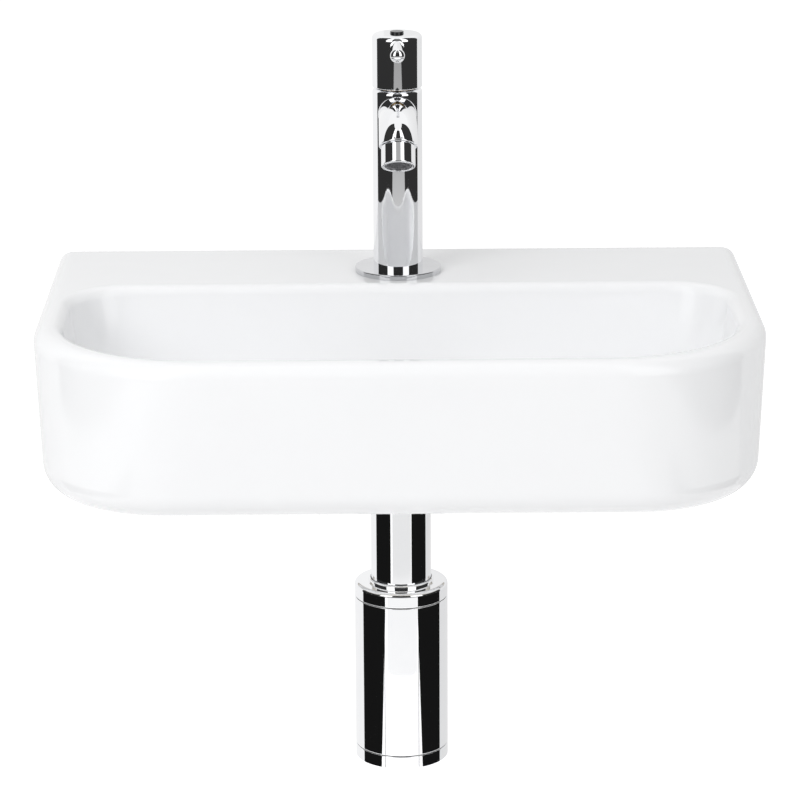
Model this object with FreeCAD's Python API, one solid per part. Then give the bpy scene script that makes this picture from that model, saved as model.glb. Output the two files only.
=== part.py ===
"""Small wall hung hand basin with a pillar tap, a free flow waste and a bottle trap.

Frame: +X to the user's right, +Y into the wall, +Z up. The origin is the middle of
the two wall studs on the wall face, so the back of the basin lies in the plane y = 0.
All sizes are in millimetres. Heights named *_Z are above the studs; heights named
*_UP or *_DOWN are measured from the rim of the basin.
"""
import FreeCAD, Part
import math
import os

Vec = FreeCAD.Vector

# ---------------------------------------------------------------- driving sizes
BASIN_WIDTH = 380.0
BASIN_DEPTH = 240.0
BASIN_HEIGHT = 83.0
RIM_Z = 38.0                    # rim above the wall studs

FRONT_CORNER_R = 88.0           # plan radius of the two front corners at the rim
WALL_DRAFT_DEG = 3.6            # the outer wall leans in towards the foot
FOOT_CORNER_R = 66.0            # the same corners at the level of the foot
FOOT_ROUND = 15.0
RIM_WIDTH = 14.4
RIM_OUTER_R = 8.0
RIM_INNER_R = 6.0
BACK_EDGE_R = 2.0

DECK_DEPTH = 82.0               # wall to the back wall of the bowl
DECK_THICK = 12.0
BACK_WALL_THICK = 12.0
HOLLOW_DEPTH = 73.5             # wall to the front of the hollow under the deck
HOLLOW_HALF = 170.0             # half width of its roof
HOLLOW_NARROWING = 18.0         # each side, from the roof down to the foot
HOLLOW_LEAN = 7.0               # its front leans this much under the bowl
HOLLOW_CORNER_R = 10.0
HOLLOW_ROOF_R = 3.0
BOWL_DEPTH = 60.0
BOWL_DRAFT_DEG = 8.5
BOWL_BACK_CORNER_R = 30.0
BOWL_FLOOR_R = 16.0
DIP_DEPTH = 1.5                 # the floor dips round the waste
DIP_R = 36.5
FLOOR_UNDERSIDE = 74.0          # rim down to the underside of the bowl floor
POCKET_INSET = 44.0             # outer wall to the recess under the bowl floor
POCKET_BACK_R = 12.0

STUD_SPACING = 140.0
STUD_R = 4.0                    # machine thread that takes the nut
STUD_WALL_R = 5.0               # coarse thread in the wall plug
STUD_OUT_OF_WALL = 31.0
STUD_IN_WALL = 60.0
WALL_HOLE_R = 7.0

TAP_Y = -50.0
TAP_HOLE_R = 17.5
PILLAR_R = 13.5
FLANGE_R = 23.5
FLANGE_THICK = 3.0
SEAM_UP = 102.1                 # top of the pillar above the rim
SEAM_GAP = 0.5
TOP_ROUND = 2.5                 # upper edge of the pillar and of the handle
HANDLE_TOP_UP = 131.5
PIN_UP = 126.0
PIN_R = 3.9
PIN_LENGTH = 25.5
CAP_PROUD = 1.1

SPOUT_R = 10.2
SPOUT_BORE_R = 7.3
SPOUT_UP = 88.8
SPOUT_STRAIGHT = 24.0           # straight run in front of the pillar
SPOUT_BEND_R = 17.0
SPOUT_BEND_DEG = 59.0
AERATOR_R = 9.0
AERATOR_LENGTH = 11.3

TAIL_R = 10.48                  # half of a G1/2 male thread
TAIL_END_DOWN = 55.0
TAIL_NECK_DOWN = 27.0           # relief between the supply's thread and the backnut's
TAIL_NECK = 2.0
TAIL_NECK_R = 9.6
CHAMBER_R = 10.42
SEAT_UP = 68.0
WATERWAY_R = 6.0

WASTE_Y = -142.0
WASTE_HOLE_R = 22.5
WASTE_FLANGE_R = 31.5
WASTE_TAIL_R = 20.9             # half of a G1 1/4 male thread
WASTE_BORE_R = 17.6
WASTE_TAIL_DOWN = 94.0
WASTE_RECESS_GAP = 0.8          # between the flange and the recess it sits in
WASTE_RECESS_DEPTH = 2.0

PIPE_R = 16.0
PIPE_WALL = 1.0
TRAP_R = 24.85
TRAP_TOP_DOWN = 146.7
TRAP_CAP_THICK = 7.8
TRAP_BOTTOM_DOWN = 247.6
TRAP_FOOT_THICK = 8.65
TRAP_GROOVE = 0.4
TRAP_BORE_R = 22.85
OUTLET_DOWN = 185.0
OUTLET_BOSS_R = 19.5
OUTLET_IN_WALL = 40.0
STOP_BEAD = 3.0
STOP_BEAD_R = 17.2
STOP_BEAD_ROUND = 0.8

THREAD_GAP = 0.05               # radial play of every screwed pair

TAP_AXIS = (0.0, TAP_Y)
WASTE_AXIS = (0.0, WASTE_Y)


# ---------------------------------------------------------------- helpers
def cylinder(radius, low, high, axis=(0.0, 0.0)):
    """Upright cylinder between two heights measured from the rim."""
    return Part.makeCylinder(radius, high - low, Vec(axis[0], axis[1], RIM_Z + low))


def ring(outer, inner, low, high, axis=(0.0, 0.0)):
    """Upright ring between two heights measured from the rim."""
    return cylinder(outer, low, high, axis).cut(cylinder(inner, low - 1, high + 1, axis))


def hexagon(across_flats, low, high, axis):
    """Upright hexagonal prism."""
    reach = across_flats / math.sqrt(3.0)
    angles = [math.radians(60 * k) for k in range(7)]
    points = [Vec(axis[0] + reach * math.cos(a), axis[1] + reach * math.sin(a), RIM_Z + low)
              for a in angles]
    face = Part.Face(Part.makePolygon(points))
    return face.extrude(Vec(0, 0, high - low))


def along_y(radius, y_start, y_end, up, x=0.0):
    """Level cylinder along Y, at a height measured from the rim."""
    start, end = min(y_start, y_end), max(y_start, y_end)
    return Part.makeCylinder(radius, end - start, Vec(x, start, RIM_Z + up), Vec(0, 1, 0))


def edges_where(shape, test):
    """Edges whose bounding box passes a test."""
    return [edge for edge in shape.Edges if test(edge.BoundBox)]


def round_circles(shape, radius, up, edge_radius, axis):
    """Rounds the circular edges of one radius at one height above the rim."""
    def is_wanted(box):
        flat = box.ZLength < 0.01 and abs(box.ZMin - RIM_Z - up) < 0.01
        wide = abs(box.XLength - 2 * edge_radius) < 0.02
        return flat and wide and abs(box.Center.y - axis[1]) < 0.02
    return shape.makeFillet(radius, edges_where(shape, is_wanted))


def both_sides(make):
    """Two mirrored solids, one each side of the middle, in one compound."""
    return Part.makeCompound([make(-STUD_SPACING / 2), make(STUD_SPACING / 2)])


def save(shape, name):
    """Writes one sub-part, and says its volume."""
    shape.exportStep(os.path.join("parts", name + ".step"))
    print("%-20s valid %s  volume %.1f cm3" % (name, shape.isValid(), shape.Volume / 1000.0))


# ---------------------------------------------------------------- ceramic basin
def d_outline(inset, up, corner_r, y_back=0.0, back_r=0.0):
    """Plan outline of the basin: straight back, parallel sides, large front corners."""
    half = BASIN_WIDTH / 2 - inset
    front = -BASIN_DEPTH + inset
    z = RIM_Z + up
    turn = math.sqrt(0.5)
    right, left = half - corner_r, corner_r - half
    near = front + corner_r
    edges = [
        Part.makeLine(Vec(half, y_back - back_r, z), Vec(half, near, z)),
        Part.Arc(Vec(half, near, z), Vec(right + turn * corner_r, near - turn * corner_r, z),
                 Vec(right, front, z)).toShape(),
        Part.makeLine(Vec(right, front, z), Vec(left, front, z)),
        Part.Arc(Vec(left, front, z), Vec(left - turn * corner_r, near - turn * corner_r, z),
                 Vec(-half, near, z)).toShape(),
        Part.makeLine(Vec(-half, near, z), Vec(-half, y_back - back_r, z)),
    ]
    if back_r:
        inner = half - back_r
        lift = back_r * turn
        low = y_back - back_r
        edges.append(Part.Arc(Vec(-half, low, z), Vec(-inner - lift, low + lift, z),
                              Vec(-inner, y_back, z)).toShape())
        edges.append(Part.makeLine(Vec(-inner, y_back, z), Vec(inner, y_back, z)))
        edges.append(Part.Arc(Vec(inner, y_back, z), Vec(inner + lift, low + lift, z),
                              Vec(half, low, z)).toShape())
    else:
        edges.append(Part.makeLine(Vec(-half, y_back, z), Vec(half, y_back, z)))
    return Part.Wire(edges)


def basin_outside():
    """Outer body: drafted wall with tighter corners at the foot, rounded rim and foot.

    The sharp rim is drawn a little wide, so that the rounded body has the stated size.
    """
    draft = math.radians(WALL_DRAFT_DEG)
    top_inset = -RIM_OUTER_R * (math.tan(draft) + 1 / math.cos(draft) - 1)
    foot_inset = top_inset + BASIN_HEIGHT * math.tan(draft)
    body = Part.makeLoft([
        d_outline(top_inset, 0.0, FRONT_CORNER_R - top_inset),
        d_outline(foot_inset, -BASIN_HEIGHT, FOOT_CORNER_R),
    ], True, True)

    def at_height(up):
        def test(box):
            return box.ZLength < 0.01 and abs(box.ZMin - RIM_Z - up) < 0.01 and box.YMin < -1.0
        return test
    body = body.makeFillet(RIM_OUTER_R, edges_where(body, at_height(0.0)))
    body = body.makeFillet(FOOT_ROUND, edges_where(body, at_height(-BASIN_HEIGHT)))
    back = edges_where(body, lambda box: box.YLength < 0.01 and abs(box.YMin) < 0.01)
    return body.makeFillet(BACK_EDGE_R, back)


def bowl_space():
    """The bowl's hollow: steep walls, a rounded floor and a dip round the waste."""
    lean = BOWL_DEPTH * math.tan(math.radians(BOWL_DRAFT_DEG))
    corner_r = FRONT_CORNER_R - RIM_WIDTH
    space = Part.makeLoft([
        d_outline(RIM_WIDTH, 0.0, corner_r, -DECK_DEPTH, BOWL_BACK_CORNER_R),
        d_outline(RIM_WIDTH + lean, -BOWL_DEPTH, corner_r - lean, -DECK_DEPTH - lean,
                  BOWL_BACK_CORNER_R),
    ], True, True)

    def on_floor(box):
        return box.ZLength < 0.01 and abs(box.ZMin - RIM_Z + BOWL_DEPTH) < 0.01
    space = space.makeFillet(BOWL_FLOOR_R, edges_where(space, on_floor))
    dip = Part.makeCone(WASTE_FLANGE_R, DIP_R, DIP_DEPTH,
                        Vec(0, WASTE_Y, RIM_Z - BOWL_DEPTH - DIP_DEPTH))
    return space.fuse(dip)


def under_deck_space():
    """The hollow under the deck, where the nuts of the tap and the studs are reached."""
    def rectangle(half, y_front, up):
        z = RIM_Z + up
        corners = [(-half, -BACK_WALL_THICK), (half, -BACK_WALL_THICK),
                   (half, y_front), (-half, y_front), (-half, -BACK_WALL_THICK)]
        return Part.makePolygon([Vec(x, y, z) for x, y in corners])
    roof = rectangle(HOLLOW_HALF, -HOLLOW_DEPTH, -DECK_THICK)
    mouth = rectangle(HOLLOW_HALF - HOLLOW_NARROWING, -HOLLOW_DEPTH - HOLLOW_LEAN,
                      -BASIN_HEIGHT - 1.0)
    space = Part.makeLoft([roof, mouth], True, True)
    below = RIM_Z - BASIN_HEIGHT
    corners = edges_where(space, lambda box: box.ZMin < below and box.ZMax > below + 1)
    space = space.makeFillet(HOLLOW_CORNER_R, corners)
    roof_edges = edges_where(space, lambda box: box.ZLength < 0.01 and box.ZMin > below)
    return space.makeFillet(HOLLOW_ROOF_R, roof_edges)


def ceramic_basin():
    """Glazed ceramic body with its bowl, tap hole, waste hole and two wall holes."""
    body = basin_outside().cut(bowl_space())

    def on_mouth(box):
        flat = box.ZLength < 0.01 and abs(box.ZMin - RIM_Z) < 0.01
        return flat and box.YMax < 1 - DECK_DEPTH and abs(box.XMax) < BASIN_WIDTH / 2 - 10
    mouth = [edge for edge in edges_where(body, on_mouth)
             if edge.BoundBox.YMin > 1 + RIM_OUTER_R - BASIN_DEPTH]
    body = body.makeFillet(RIM_INNER_R, mouth)
    body = body.cut(under_deck_space())
    pocket = d_outline(POCKET_INSET, -BASIN_HEIGHT - 1.0, FRONT_CORNER_R - POCKET_INSET,
                       -HOLLOW_DEPTH / 2, POCKET_BACK_R)
    body = body.cut(Part.Face(pocket).extrude(Vec(0, 0, BASIN_HEIGHT + 1.0 - FLOOR_UNDERSIDE)))
    body = body.cut(cylinder(TAP_HOLE_R, -DECK_THICK - 1, 1, TAP_AXIS))
    body = body.cut(cylinder(WASTE_HOLE_R, -FLOOR_UNDERSIDE - 1, 0, WASTE_AXIS))
    body = body.cut(cylinder(WASTE_FLANGE_R + WASTE_RECESS_GAP, WASTE_SEAT_UP, -BOWL_DEPTH,
                             WASTE_AXIS))
    for x in (-STUD_SPACING / 2, STUD_SPACING / 2):
        body = body.cut(along_y(WALL_HOLE_R, -BACK_WALL_THICK - 1, 1, -RIM_Z, x))
    return body


# ---------------------------------------------------------------- wall fixing
SLEEVE_FLANGE = 3.0
SLEEVE_FLANGE_R = 12.0
STUD_WASHER = 2.0
STUD_WASHER_R = 11.5
STUD_NUT = 6.5
STUD_NUT_FLATS = 13.0
STUD_CHAMFER = 1.0


def wall_studs():
    """Two studs that stand in the wall and carry the basin."""
    def stud(x):
        free = along_y(STUD_R, -STUD_OUT_OF_WALL, 0, -RIM_Z, x)
        rod = free.fuse(along_y(STUD_WALL_R, 0, STUD_IN_WALL, -RIM_Z, x))
        ends = edges_where(rod, lambda box: box.YLength < 0.01 and abs(box.YMin) > 1)
        return rod.makeChamfer(STUD_CHAMFER, ends)
    return both_sides(stud)


def stud_sleeves():
    """Plastic sleeves that keep the studs off the ceramic."""
    def sleeve(x):
        tube = along_y(WALL_HOLE_R - 0.1, -BACK_WALL_THICK, -0.5, -RIM_Z, x)
        flange = along_y(SLEEVE_FLANGE_R, -BACK_WALL_THICK - SLEEVE_FLANGE, -BACK_WALL_THICK,
                         -RIM_Z, x)
        bore = along_y(STUD_R + 0.1, -BACK_WALL_THICK - SLEEVE_FLANGE - 1, 1, -RIM_Z, x)
        return tube.fuse(flange).cut(bore)
    return both_sides(sleeve)


def stud_washers():
    """Steel washers under the two nuts."""
    back = -BACK_WALL_THICK - SLEEVE_FLANGE

    def washer(x):
        disc = along_y(STUD_WASHER_R, back - STUD_WASHER, back, -RIM_Z, x)
        return disc.cut(along_y(STUD_R + 0.25, back - STUD_WASHER - 1, back + 1, -RIM_Z, x))
    return both_sides(washer)


def stud_nuts():
    """Hexagon nuts that draw the basin to the wall."""
    face_y = -BACK_WALL_THICK - SLEEVE_FLANGE - STUD_WASHER
    reach = STUD_NUT_FLATS / math.sqrt(3.0)

    def nut(x):
        angles = [math.radians(30 + 60 * k) for k in range(7)]
        points = [Vec(x + reach * math.cos(a), face_y, reach * math.sin(a)) for a in angles]
        prism = Part.Face(Part.makePolygon(points)).extrude(Vec(0, -STUD_NUT, 0))
        return prism.cut(along_y(STUD_R + THREAD_GAP, face_y + 1, face_y - STUD_NUT - 1, -RIM_Z, x))
    return both_sides(nut)


# ---------------------------------------------------------------- tap: pillar
SEAL_IN_R = 18.0
SEAL_OUT_R = 21.9
SEAL_THICK = 1.2
CLAMP_RUBBER = 2.5
CLAMP_WASHER = 1.5
BACKNUT = 9.0
TAIL_SPIGOT_R = 8.45
TAIL_SPIGOT = 13.5
TAIL_PLAY = 0.12
CLAMP_RUBBER_R = 20.5
CLAMP_WASHER_R = 19.5
BACKNUT_FLATS = 30.0


def tap_flange():
    """Chromed ring between the pillar and the deck."""
    body = ring(FLANGE_R, TAIL_R + 0.2, 0, FLANGE_THICK, TAP_AXIS)
    body = body.cut(ring(SEAL_OUT_R + 0.1, SEAL_IN_R - 0.1, 0, SEAL_THICK, TAP_AXIS))
    return round_circles(body, 0.5, FLANGE_THICK, FLANGE_R, TAP_AXIS)


def tap_deck_seal():
    """Rubber ring under the flange."""
    return ring(SEAL_OUT_R, SEAL_IN_R, 0, SEAL_THICK, TAP_AXIS)


def tap_pillar():
    """Round brass pillar: waterway, seat and chamber for the headwork, hole for the spout."""
    body = cylinder(PILLAR_R, FLANGE_THICK, SEAM_UP, TAP_AXIS)
    body = round_circles(body, TOP_ROUND, SEAM_UP, PILLAR_R, TAP_AXIS)
    spigot_top = FLANGE_THICK + TAIL_SPIGOT + 0.5
    body = body.cut(cylinder(TAIL_SPIGOT_R + THREAD_GAP, FLANGE_THICK, spigot_top, TAP_AXIS))
    body = body.cut(cylinder(WATERWAY_R, FLANGE_THICK, SEAT_UP, TAP_AXIS))
    body = body.cut(cylinder(CHAMBER_R, SEAT_UP, SEAM_UP, TAP_AXIS))
    return body.cut(along_y(SPOUT_SPIGOT_R + THREAD_GAP, TAP_Y - PILLAR_R, TAP_Y, SPOUT_UP))


def tap_tail():
    """Threaded tail that takes the supply below the deck."""
    body = cylinder(TAIL_R, -TAIL_END_DOWN, FLANGE_THICK, TAP_AXIS)
    body = body.fuse(cylinder(TAIL_SPIGOT_R, FLANGE_THICK, FLANGE_THICK + TAIL_SPIGOT, TAP_AXIS))
    body = body.cut(ring(TAIL_R + 1, TAIL_NECK_R, -TAIL_NECK_DOWN, TAIL_NECK - TAIL_NECK_DOWN,
                         TAP_AXIS))
    top = FLANGE_THICK + TAIL_SPIGOT
    return body.cut(cylinder(WATERWAY_R, -TAIL_END_DOWN, top, TAP_AXIS))


def tap_clamp_rubber():
    """Rubber washer against the underside of the deck."""
    return ring(CLAMP_RUBBER_R, TAIL_R + TAIL_PLAY, -DECK_THICK - CLAMP_RUBBER, -DECK_THICK,
                TAP_AXIS)


def tap_clamp_washer():
    """Steel washer between the rubber and the backnut."""
    top = -DECK_THICK - CLAMP_RUBBER
    return ring(CLAMP_WASHER_R, TAIL_R + TAIL_PLAY, top - CLAMP_WASHER, top, TAP_AXIS)


def tap_backnut():
    """Brass nut that clamps the tap to the deck."""
    top = -DECK_THICK - CLAMP_RUBBER - CLAMP_WASHER
    nut = hexagon(BACKNUT_FLATS, top - BACKNUT, top, TAP_AXIS)
    return nut.cut(cylinder(TAIL_R + THREAD_GAP, top - BACKNUT - 1, top + 1, TAP_AXIS))


# ---------------------------------------------------------------- tap: spout
SPOUT_SPIGOT_R = 8.5
SPOUT_BEND_START = TAP_Y - PILLAR_R - SPOUT_STRAIGHT
AERATOR_THREAD_R = 8.0
AERATOR_BORE_R = 6.4
AERATOR_THREAD = 6.5
AERATOR_SEAL = 1.2
AERATOR_SEAT = AERATOR_THREAD + AERATOR_SEAL
INSERT_R = 7.2
INSERT_RECESS = 1.0
INSERT_THICK = 6.0
MESH_PLATE = 1.2
MESH_PITCH = 1.7
MESH_HOLE_R = 0.55


def outlet_point():
    """Middle of the spout's end face."""
    turn = math.radians(SPOUT_BEND_DEG)
    return Vec(0, SPOUT_BEND_START - SPOUT_BEND_R * math.sin(turn),
               RIM_Z + SPOUT_UP - SPOUT_BEND_R * (1 - math.cos(turn)))


def at_outlet(shape):
    """Moves a shape drawn along +Z from z = 0 so that it points out of the spout."""
    moved = shape.copy()
    moved.rotate(Vec(0, 0, 0), Vec(1, 0, 0), 90.0 + SPOUT_BEND_DEG)
    moved.translate(outlet_point())
    return moved


def local_ring(outer, inner, start, end):
    """Ring along +Z in the outlet's own frame."""
    body = Part.makeCylinder(outer, end - start, Vec(0, 0, start))
    return body.cut(Part.makeCylinder(inner, end - start + 2, Vec(0, 0, start - 1)))


def spout_rod(radius, y_start):
    """Solid rod along the spout: a level run and one bend."""
    run = along_y(radius, SPOUT_BEND_START, y_start, SPOUT_UP)
    circle = Part.makeCircle(radius, Vec(0, SPOUT_BEND_START, RIM_Z + SPOUT_UP), Vec(0, 1, 0))
    face = Part.Face(Part.Wire(circle))
    pivot = Vec(0, SPOUT_BEND_START, RIM_Z + SPOUT_UP - SPOUT_BEND_R)
    bend = face.revolve(pivot, Vec(1, 0, 0), SPOUT_BEND_DEG)
    return run.fuse(bend).removeSplitter()


def tap_spout():
    """Curved spout, let into the side of the pillar."""
    low, high = SPOUT_UP - 2 * SPOUT_R, SPOUT_UP + 2 * SPOUT_R
    root = TAP_Y - PILLAR_R / 2
    body = spout_rod(SPOUT_R, root).cut(cylinder(PILLAR_R, low, high, TAP_AXIS))
    spigot = along_y(SPOUT_SPIGOT_R, TAP_Y - PILLAR_R - 1, root, SPOUT_UP)
    body = body.fuse(spigot.cut(cylinder(CHAMBER_R + THREAD_GAP, low, high, TAP_AXIS)))
    body = body.cut(spout_rod(SPOUT_BORE_R, TAP_Y))
    seat = Part.makeCylinder(AERATOR_THREAD_R + THREAD_GAP, AERATOR_SEAT, Vec(0, 0, -AERATOR_SEAT))
    return body.cut(at_outlet(seat))


def aerator_housing():
    """Chromed ring screwed into the end of the spout."""
    grip = local_ring(AERATOR_R, INSERT_R + 0.05, 0, AERATOR_LENGTH)
    lip = edges_where(grip, lambda box: box.ZMin > AERATOR_LENGTH - 0.01)
    grip = grip.makeFillet(0.5, lip)
    thread = local_ring(AERATOR_THREAD_R, AERATOR_BORE_R, -AERATOR_THREAD, 2.0)
    return at_outlet(grip.fuse(thread))


def aerator_insert():
    """Mesh insert: a short cup whose end plate is drilled like a sieve."""
    outer_end = AERATOR_LENGTH - INSERT_RECESS
    body = Part.makeCylinder(INSERT_R, INSERT_THICK, Vec(0, 0, outer_end - INSERT_THICK))
    hollow = INSERT_THICK - MESH_PLATE
    body = body.cut(Part.makeCylinder(INSERT_R - 1.0, hollow, Vec(0, 0, outer_end - INSERT_THICK)))
    holes = []
    for row in range(-3, 4):
        for column in range(-3, 4):
            x = MESH_PITCH * (column + 0.5 * (row % 2))
            y = MESH_PITCH * row * math.sqrt(0.75)
            if math.hypot(x, y) < INSERT_R - MESH_PITCH:
                holes.append(Part.makeCylinder(MESH_HOLE_R, MESH_PLATE + 2,
                                               Vec(x, y, outer_end - MESH_PLATE - 1)))
    return at_outlet(body.cut(Part.makeCompound(holes)))


def aerator_seal():
    """Rubber ring behind the aerator."""
    return at_outlet(local_ring(7.8, 6.0, -AERATOR_SEAT, -AERATOR_THREAD))


# ---------------------------------------------------------------- tap: headwork
DISC_R = 6.85
SKIRT_IN_R = 7.0
SKIRT_OUT_R = 8.6
SEAT_SEAL = 2.4
DISC_THICK = 2.8
DISC_GAP = 0.05
FIXED_DISC_UP = SEAT_UP + SEAT_SEAL
MOVING_DISC_UP = FIXED_DISC_UP + DISC_THICK + DISC_GAP
SPINDLE_FOOT_UP = MOVING_DISC_UP + DISC_THICK
SPINDLE_FOOT = 2.2
SPINDLE_R = 4.0
SPINDLE_BORE_R = 4.06
SPINDLE_TOP_UP = 118.0
HEADWORK_TOP_UP = 107.5
O_RING_UPS = (86.8, 92.8)
CIRCLIP_UP = 107.9
CIRCLIP_THICK = 0.8
SPLINE_R = 3.7
SPLINE_LOW_UP = 109.0
SCREW_R = 2.0
SKIRT_TOP_UP = 91.0             # the threaded neck starts here
COLLAR_R = 11.2
COLLAR_THICK = 1.2
HEADWORK_FLATS = 19.0
NECK_RING = (99.9, 101.7)       # the neck's ring groove
NECK_RING_R = 9.0
WINDOW_WIDE = 8.0               # side openings that let the water out of the discs
WINDOW_HIGH = 4.5
PORT_R = 5.2
PORT_HUB_R = 1.6
PORT_DEG = 80
GROOVE_R = 3.1
CLIP_GROOVE_R = 3.3
CLIP_R = 5.4
CLIP_MOUTH = 2.4


def headwork_body():
    """Brass headwork screwed into the pillar, with a skirt round the two discs."""
    collar_top = SEAM_UP + COLLAR_THICK
    body = cylinder(SKIRT_OUT_R, SEAT_UP + 0.6, SKIRT_TOP_UP, TAP_AXIS)
    body = body.fuse(cylinder(CHAMBER_R - THREAD_GAP, SKIRT_TOP_UP, SEAM_UP, TAP_AXIS))
    body = body.fuse(cylinder(COLLAR_R, SEAM_UP, collar_top, TAP_AXIS))
    body = body.fuse(hexagon(HEADWORK_FLATS, collar_top, HEADWORK_TOP_UP, TAP_AXIS))
    body = body.cut(ring(COLLAR_R + 1, NECK_RING_R, NECK_RING[0], NECK_RING[1], TAP_AXIS))
    foot_top = SPINDLE_FOOT_UP + SPINDLE_FOOT + 0.3
    body = body.cut(cylinder(SKIRT_IN_R, SEAT_UP, foot_top, TAP_AXIS))
    body = body.cut(cylinder(SPINDLE_BORE_R, SEAT_UP, HEADWORK_TOP_UP + 1, TAP_AXIS))
    corner = Vec(-COLLAR_R, TAP_Y - WINDOW_WIDE / 2, RIM_Z + MOVING_DISC_UP)
    return body.cut(Part.makeBox(2 * COLLAR_R, WINDOW_WIDE, WINDOW_HIGH, corner))


def headwork_seat_seal():
    """Rubber ring between the fixed disc and the seat."""
    return ring(6.9, 5.3, SEAT_UP, FIXED_DISC_UP, TAP_AXIS)


def headwork_o_ring():
    """Rubber ring in the neck of the headwork."""
    return ring(CHAMBER_R - 0.03, NECK_RING_R, NECK_RING[0] + 0.1, NECK_RING[1] - 0.1, TAP_AXIS)


def sector_ports(low, high, turn_deg):
    """Two opposed quarter openings of a ceramic disc."""
    wedges = []
    for angle in (turn_deg, turn_deg + 180):
        wedge = Part.makeCylinder(PORT_R, high - low, Vec(0, TAP_Y, RIM_Z + low), Vec(0, 0, 1),
                                  PORT_DEG)
        wedge = wedge.cut(cylinder(PORT_HUB_R, low - 1, high + 1, TAP_AXIS))
        wedge.rotate(Vec(0, TAP_Y, 0), Vec(0, 0, 1), angle)
        wedges.append(wedge)
    return Part.makeCompound(wedges)


def fixed_disc():
    """Lower ceramic disc, held in the skirt."""
    top = FIXED_DISC_UP + DISC_THICK
    disc = cylinder(DISC_R, FIXED_DISC_UP, top, TAP_AXIS)
    return disc.cut(sector_ports(FIXED_DISC_UP - 1, top + 1, 0.0))


def moving_disc():
    """Upper ceramic disc, turned by the spindle: closed at rest, open after a quarter turn."""
    disc = cylinder(DISC_R, MOVING_DISC_UP, SPINDLE_FOOT_UP, TAP_AXIS)
    return disc.cut(sector_ports(MOVING_DISC_UP - 1, SPINDLE_FOOT_UP + 1, 90.0))


def spindle():
    """Brass spindle: a foot on the moving disc, two ring grooves and a splined head."""
    foot_top = SPINDLE_FOOT_UP + SPINDLE_FOOT
    body = cylinder(DISC_R - 0.05, SPINDLE_FOOT_UP, foot_top, TAP_AXIS)
    body = body.cut(sector_ports(SPINDLE_FOOT_UP - 1, foot_top + 1, 90.0))
    body = body.fuse(cylinder(SPINDLE_R, foot_top - 0.5, SPLINE_LOW_UP, TAP_AXIS))
    body = body.fuse(cylinder(SPLINE_R, SPLINE_LOW_UP, SPINDLE_TOP_UP, TAP_AXIS))
    for up in O_RING_UPS:
        body = body.cut(ring(SPINDLE_R + 1, GROOVE_R, up - 0.6, up + 0.6, TAP_AXIS))
    body = body.cut(ring(SPINDLE_R + 1, CLIP_GROOVE_R, CIRCLIP_UP, CIRCLIP_UP + CIRCLIP_THICK,
                         TAP_AXIS))
    return body.cut(cylinder(SCREW_R + THREAD_GAP, SCREW_END_UP - 1, SPINDLE_TOP_UP, TAP_AXIS))


def spindle_o_rings():
    """Two rubber rings in the spindle's grooves."""
    rings = [Part.makeTorus(3.58, 0.46, Vec(0, TAP_Y, RIM_Z + up)) for up in O_RING_UPS]
    return Part.makeCompound(rings)


def spindle_circlip():
    """Spring clip that keeps the spindle in the headwork."""
    clip = ring(CLIP_R, CLIP_GROOVE_R + 0.05, CIRCLIP_UP, CIRCLIP_UP + CIRCLIP_THICK, TAP_AXIS)
    corner = Vec(-CLIP_MOUTH / 2, TAP_Y + 1.0, RIM_Z + CIRCLIP_UP - 1)
    return clip.cut(Part.makeBox(CLIP_MOUTH, CLIP_R, CIRCLIP_THICK + 2, corner))


# ---------------------------------------------------------------- tap: handle
HANDLE_LOW_UP = SEAM_UP + SEAM_GAP
HANDLE_HOLLOW_UP = 118.8
SCREW_SEAT_UP = 124.5
SCREW_HEAD_R = 3.5
SCREW_HEAD = 2.4
SCREW_END_UP = 108.0
SCREW_KEY_FLATS = 2.5
HANDLE_HOLLOW_R = 11.7
BOSS_R = 6.5
BOSS_LOW_UP = 110.0
CAP_R = 3.65
PIN_STUD_R = 2.5
PIN_STUD_END_Y = TAP_Y - 6.5
PIN_TIP_ROUND = 2.4


def tap_handle():
    """Round handle: a cup over the headwork with a boss on the spindle."""
    body = cylinder(PILLAR_R, HANDLE_LOW_UP, HANDLE_TOP_UP, TAP_AXIS)
    body = round_circles(body, TOP_ROUND, HANDLE_TOP_UP, PILLAR_R, TAP_AXIS)
    body = round_circles(body, 0.5, HANDLE_LOW_UP, PILLAR_R, TAP_AXIS)
    body = body.cut(cylinder(HANDLE_HOLLOW_R, HANDLE_LOW_UP, HANDLE_HOLLOW_UP, TAP_AXIS))
    body = body.fuse(cylinder(BOSS_R, BOSS_LOW_UP, HANDLE_HOLLOW_UP + 0.5, TAP_AXIS))
    body = body.cut(cylinder(SPLINE_R + THREAD_GAP, BOSS_LOW_UP - 1, SPINDLE_TOP_UP + 0.3,
                             TAP_AXIS))
    body = body.cut(cylinder(SCREW_R + 0.1, BOSS_LOW_UP - 1, SCREW_SEAT_UP, TAP_AXIS))
    body = body.cut(cylinder(CAP_R + THREAD_GAP, SCREW_SEAT_UP, HANDLE_TOP_UP + 1, TAP_AXIS))
    return body.cut(along_y(PIN_STUD_R + THREAD_GAP, TAP_Y - PILLAR_R - 1, PIN_STUD_END_Y + 0.2,
                            PIN_UP))


def pin_lever():
    """Round pin that turns the handle, screwed into its side."""
    tip = TAP_Y - PILLAR_R - PIN_LENGTH
    body = along_y(PIN_R, tip, TAP_Y - PILLAR_R / 2, PIN_UP)
    body = body.makeFillet(PIN_TIP_ROUND, edges_where(body, lambda box: box.YMax < tip + 0.1))
    body = body.cut(cylinder(PILLAR_R, PIN_UP - 2 * PIN_R, PIN_UP + 2 * PIN_R, TAP_AXIS))
    return body.fuse(along_y(PIN_STUD_R, TAP_Y - PILLAR_R - 2, PIN_STUD_END_Y, PIN_UP))


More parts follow.
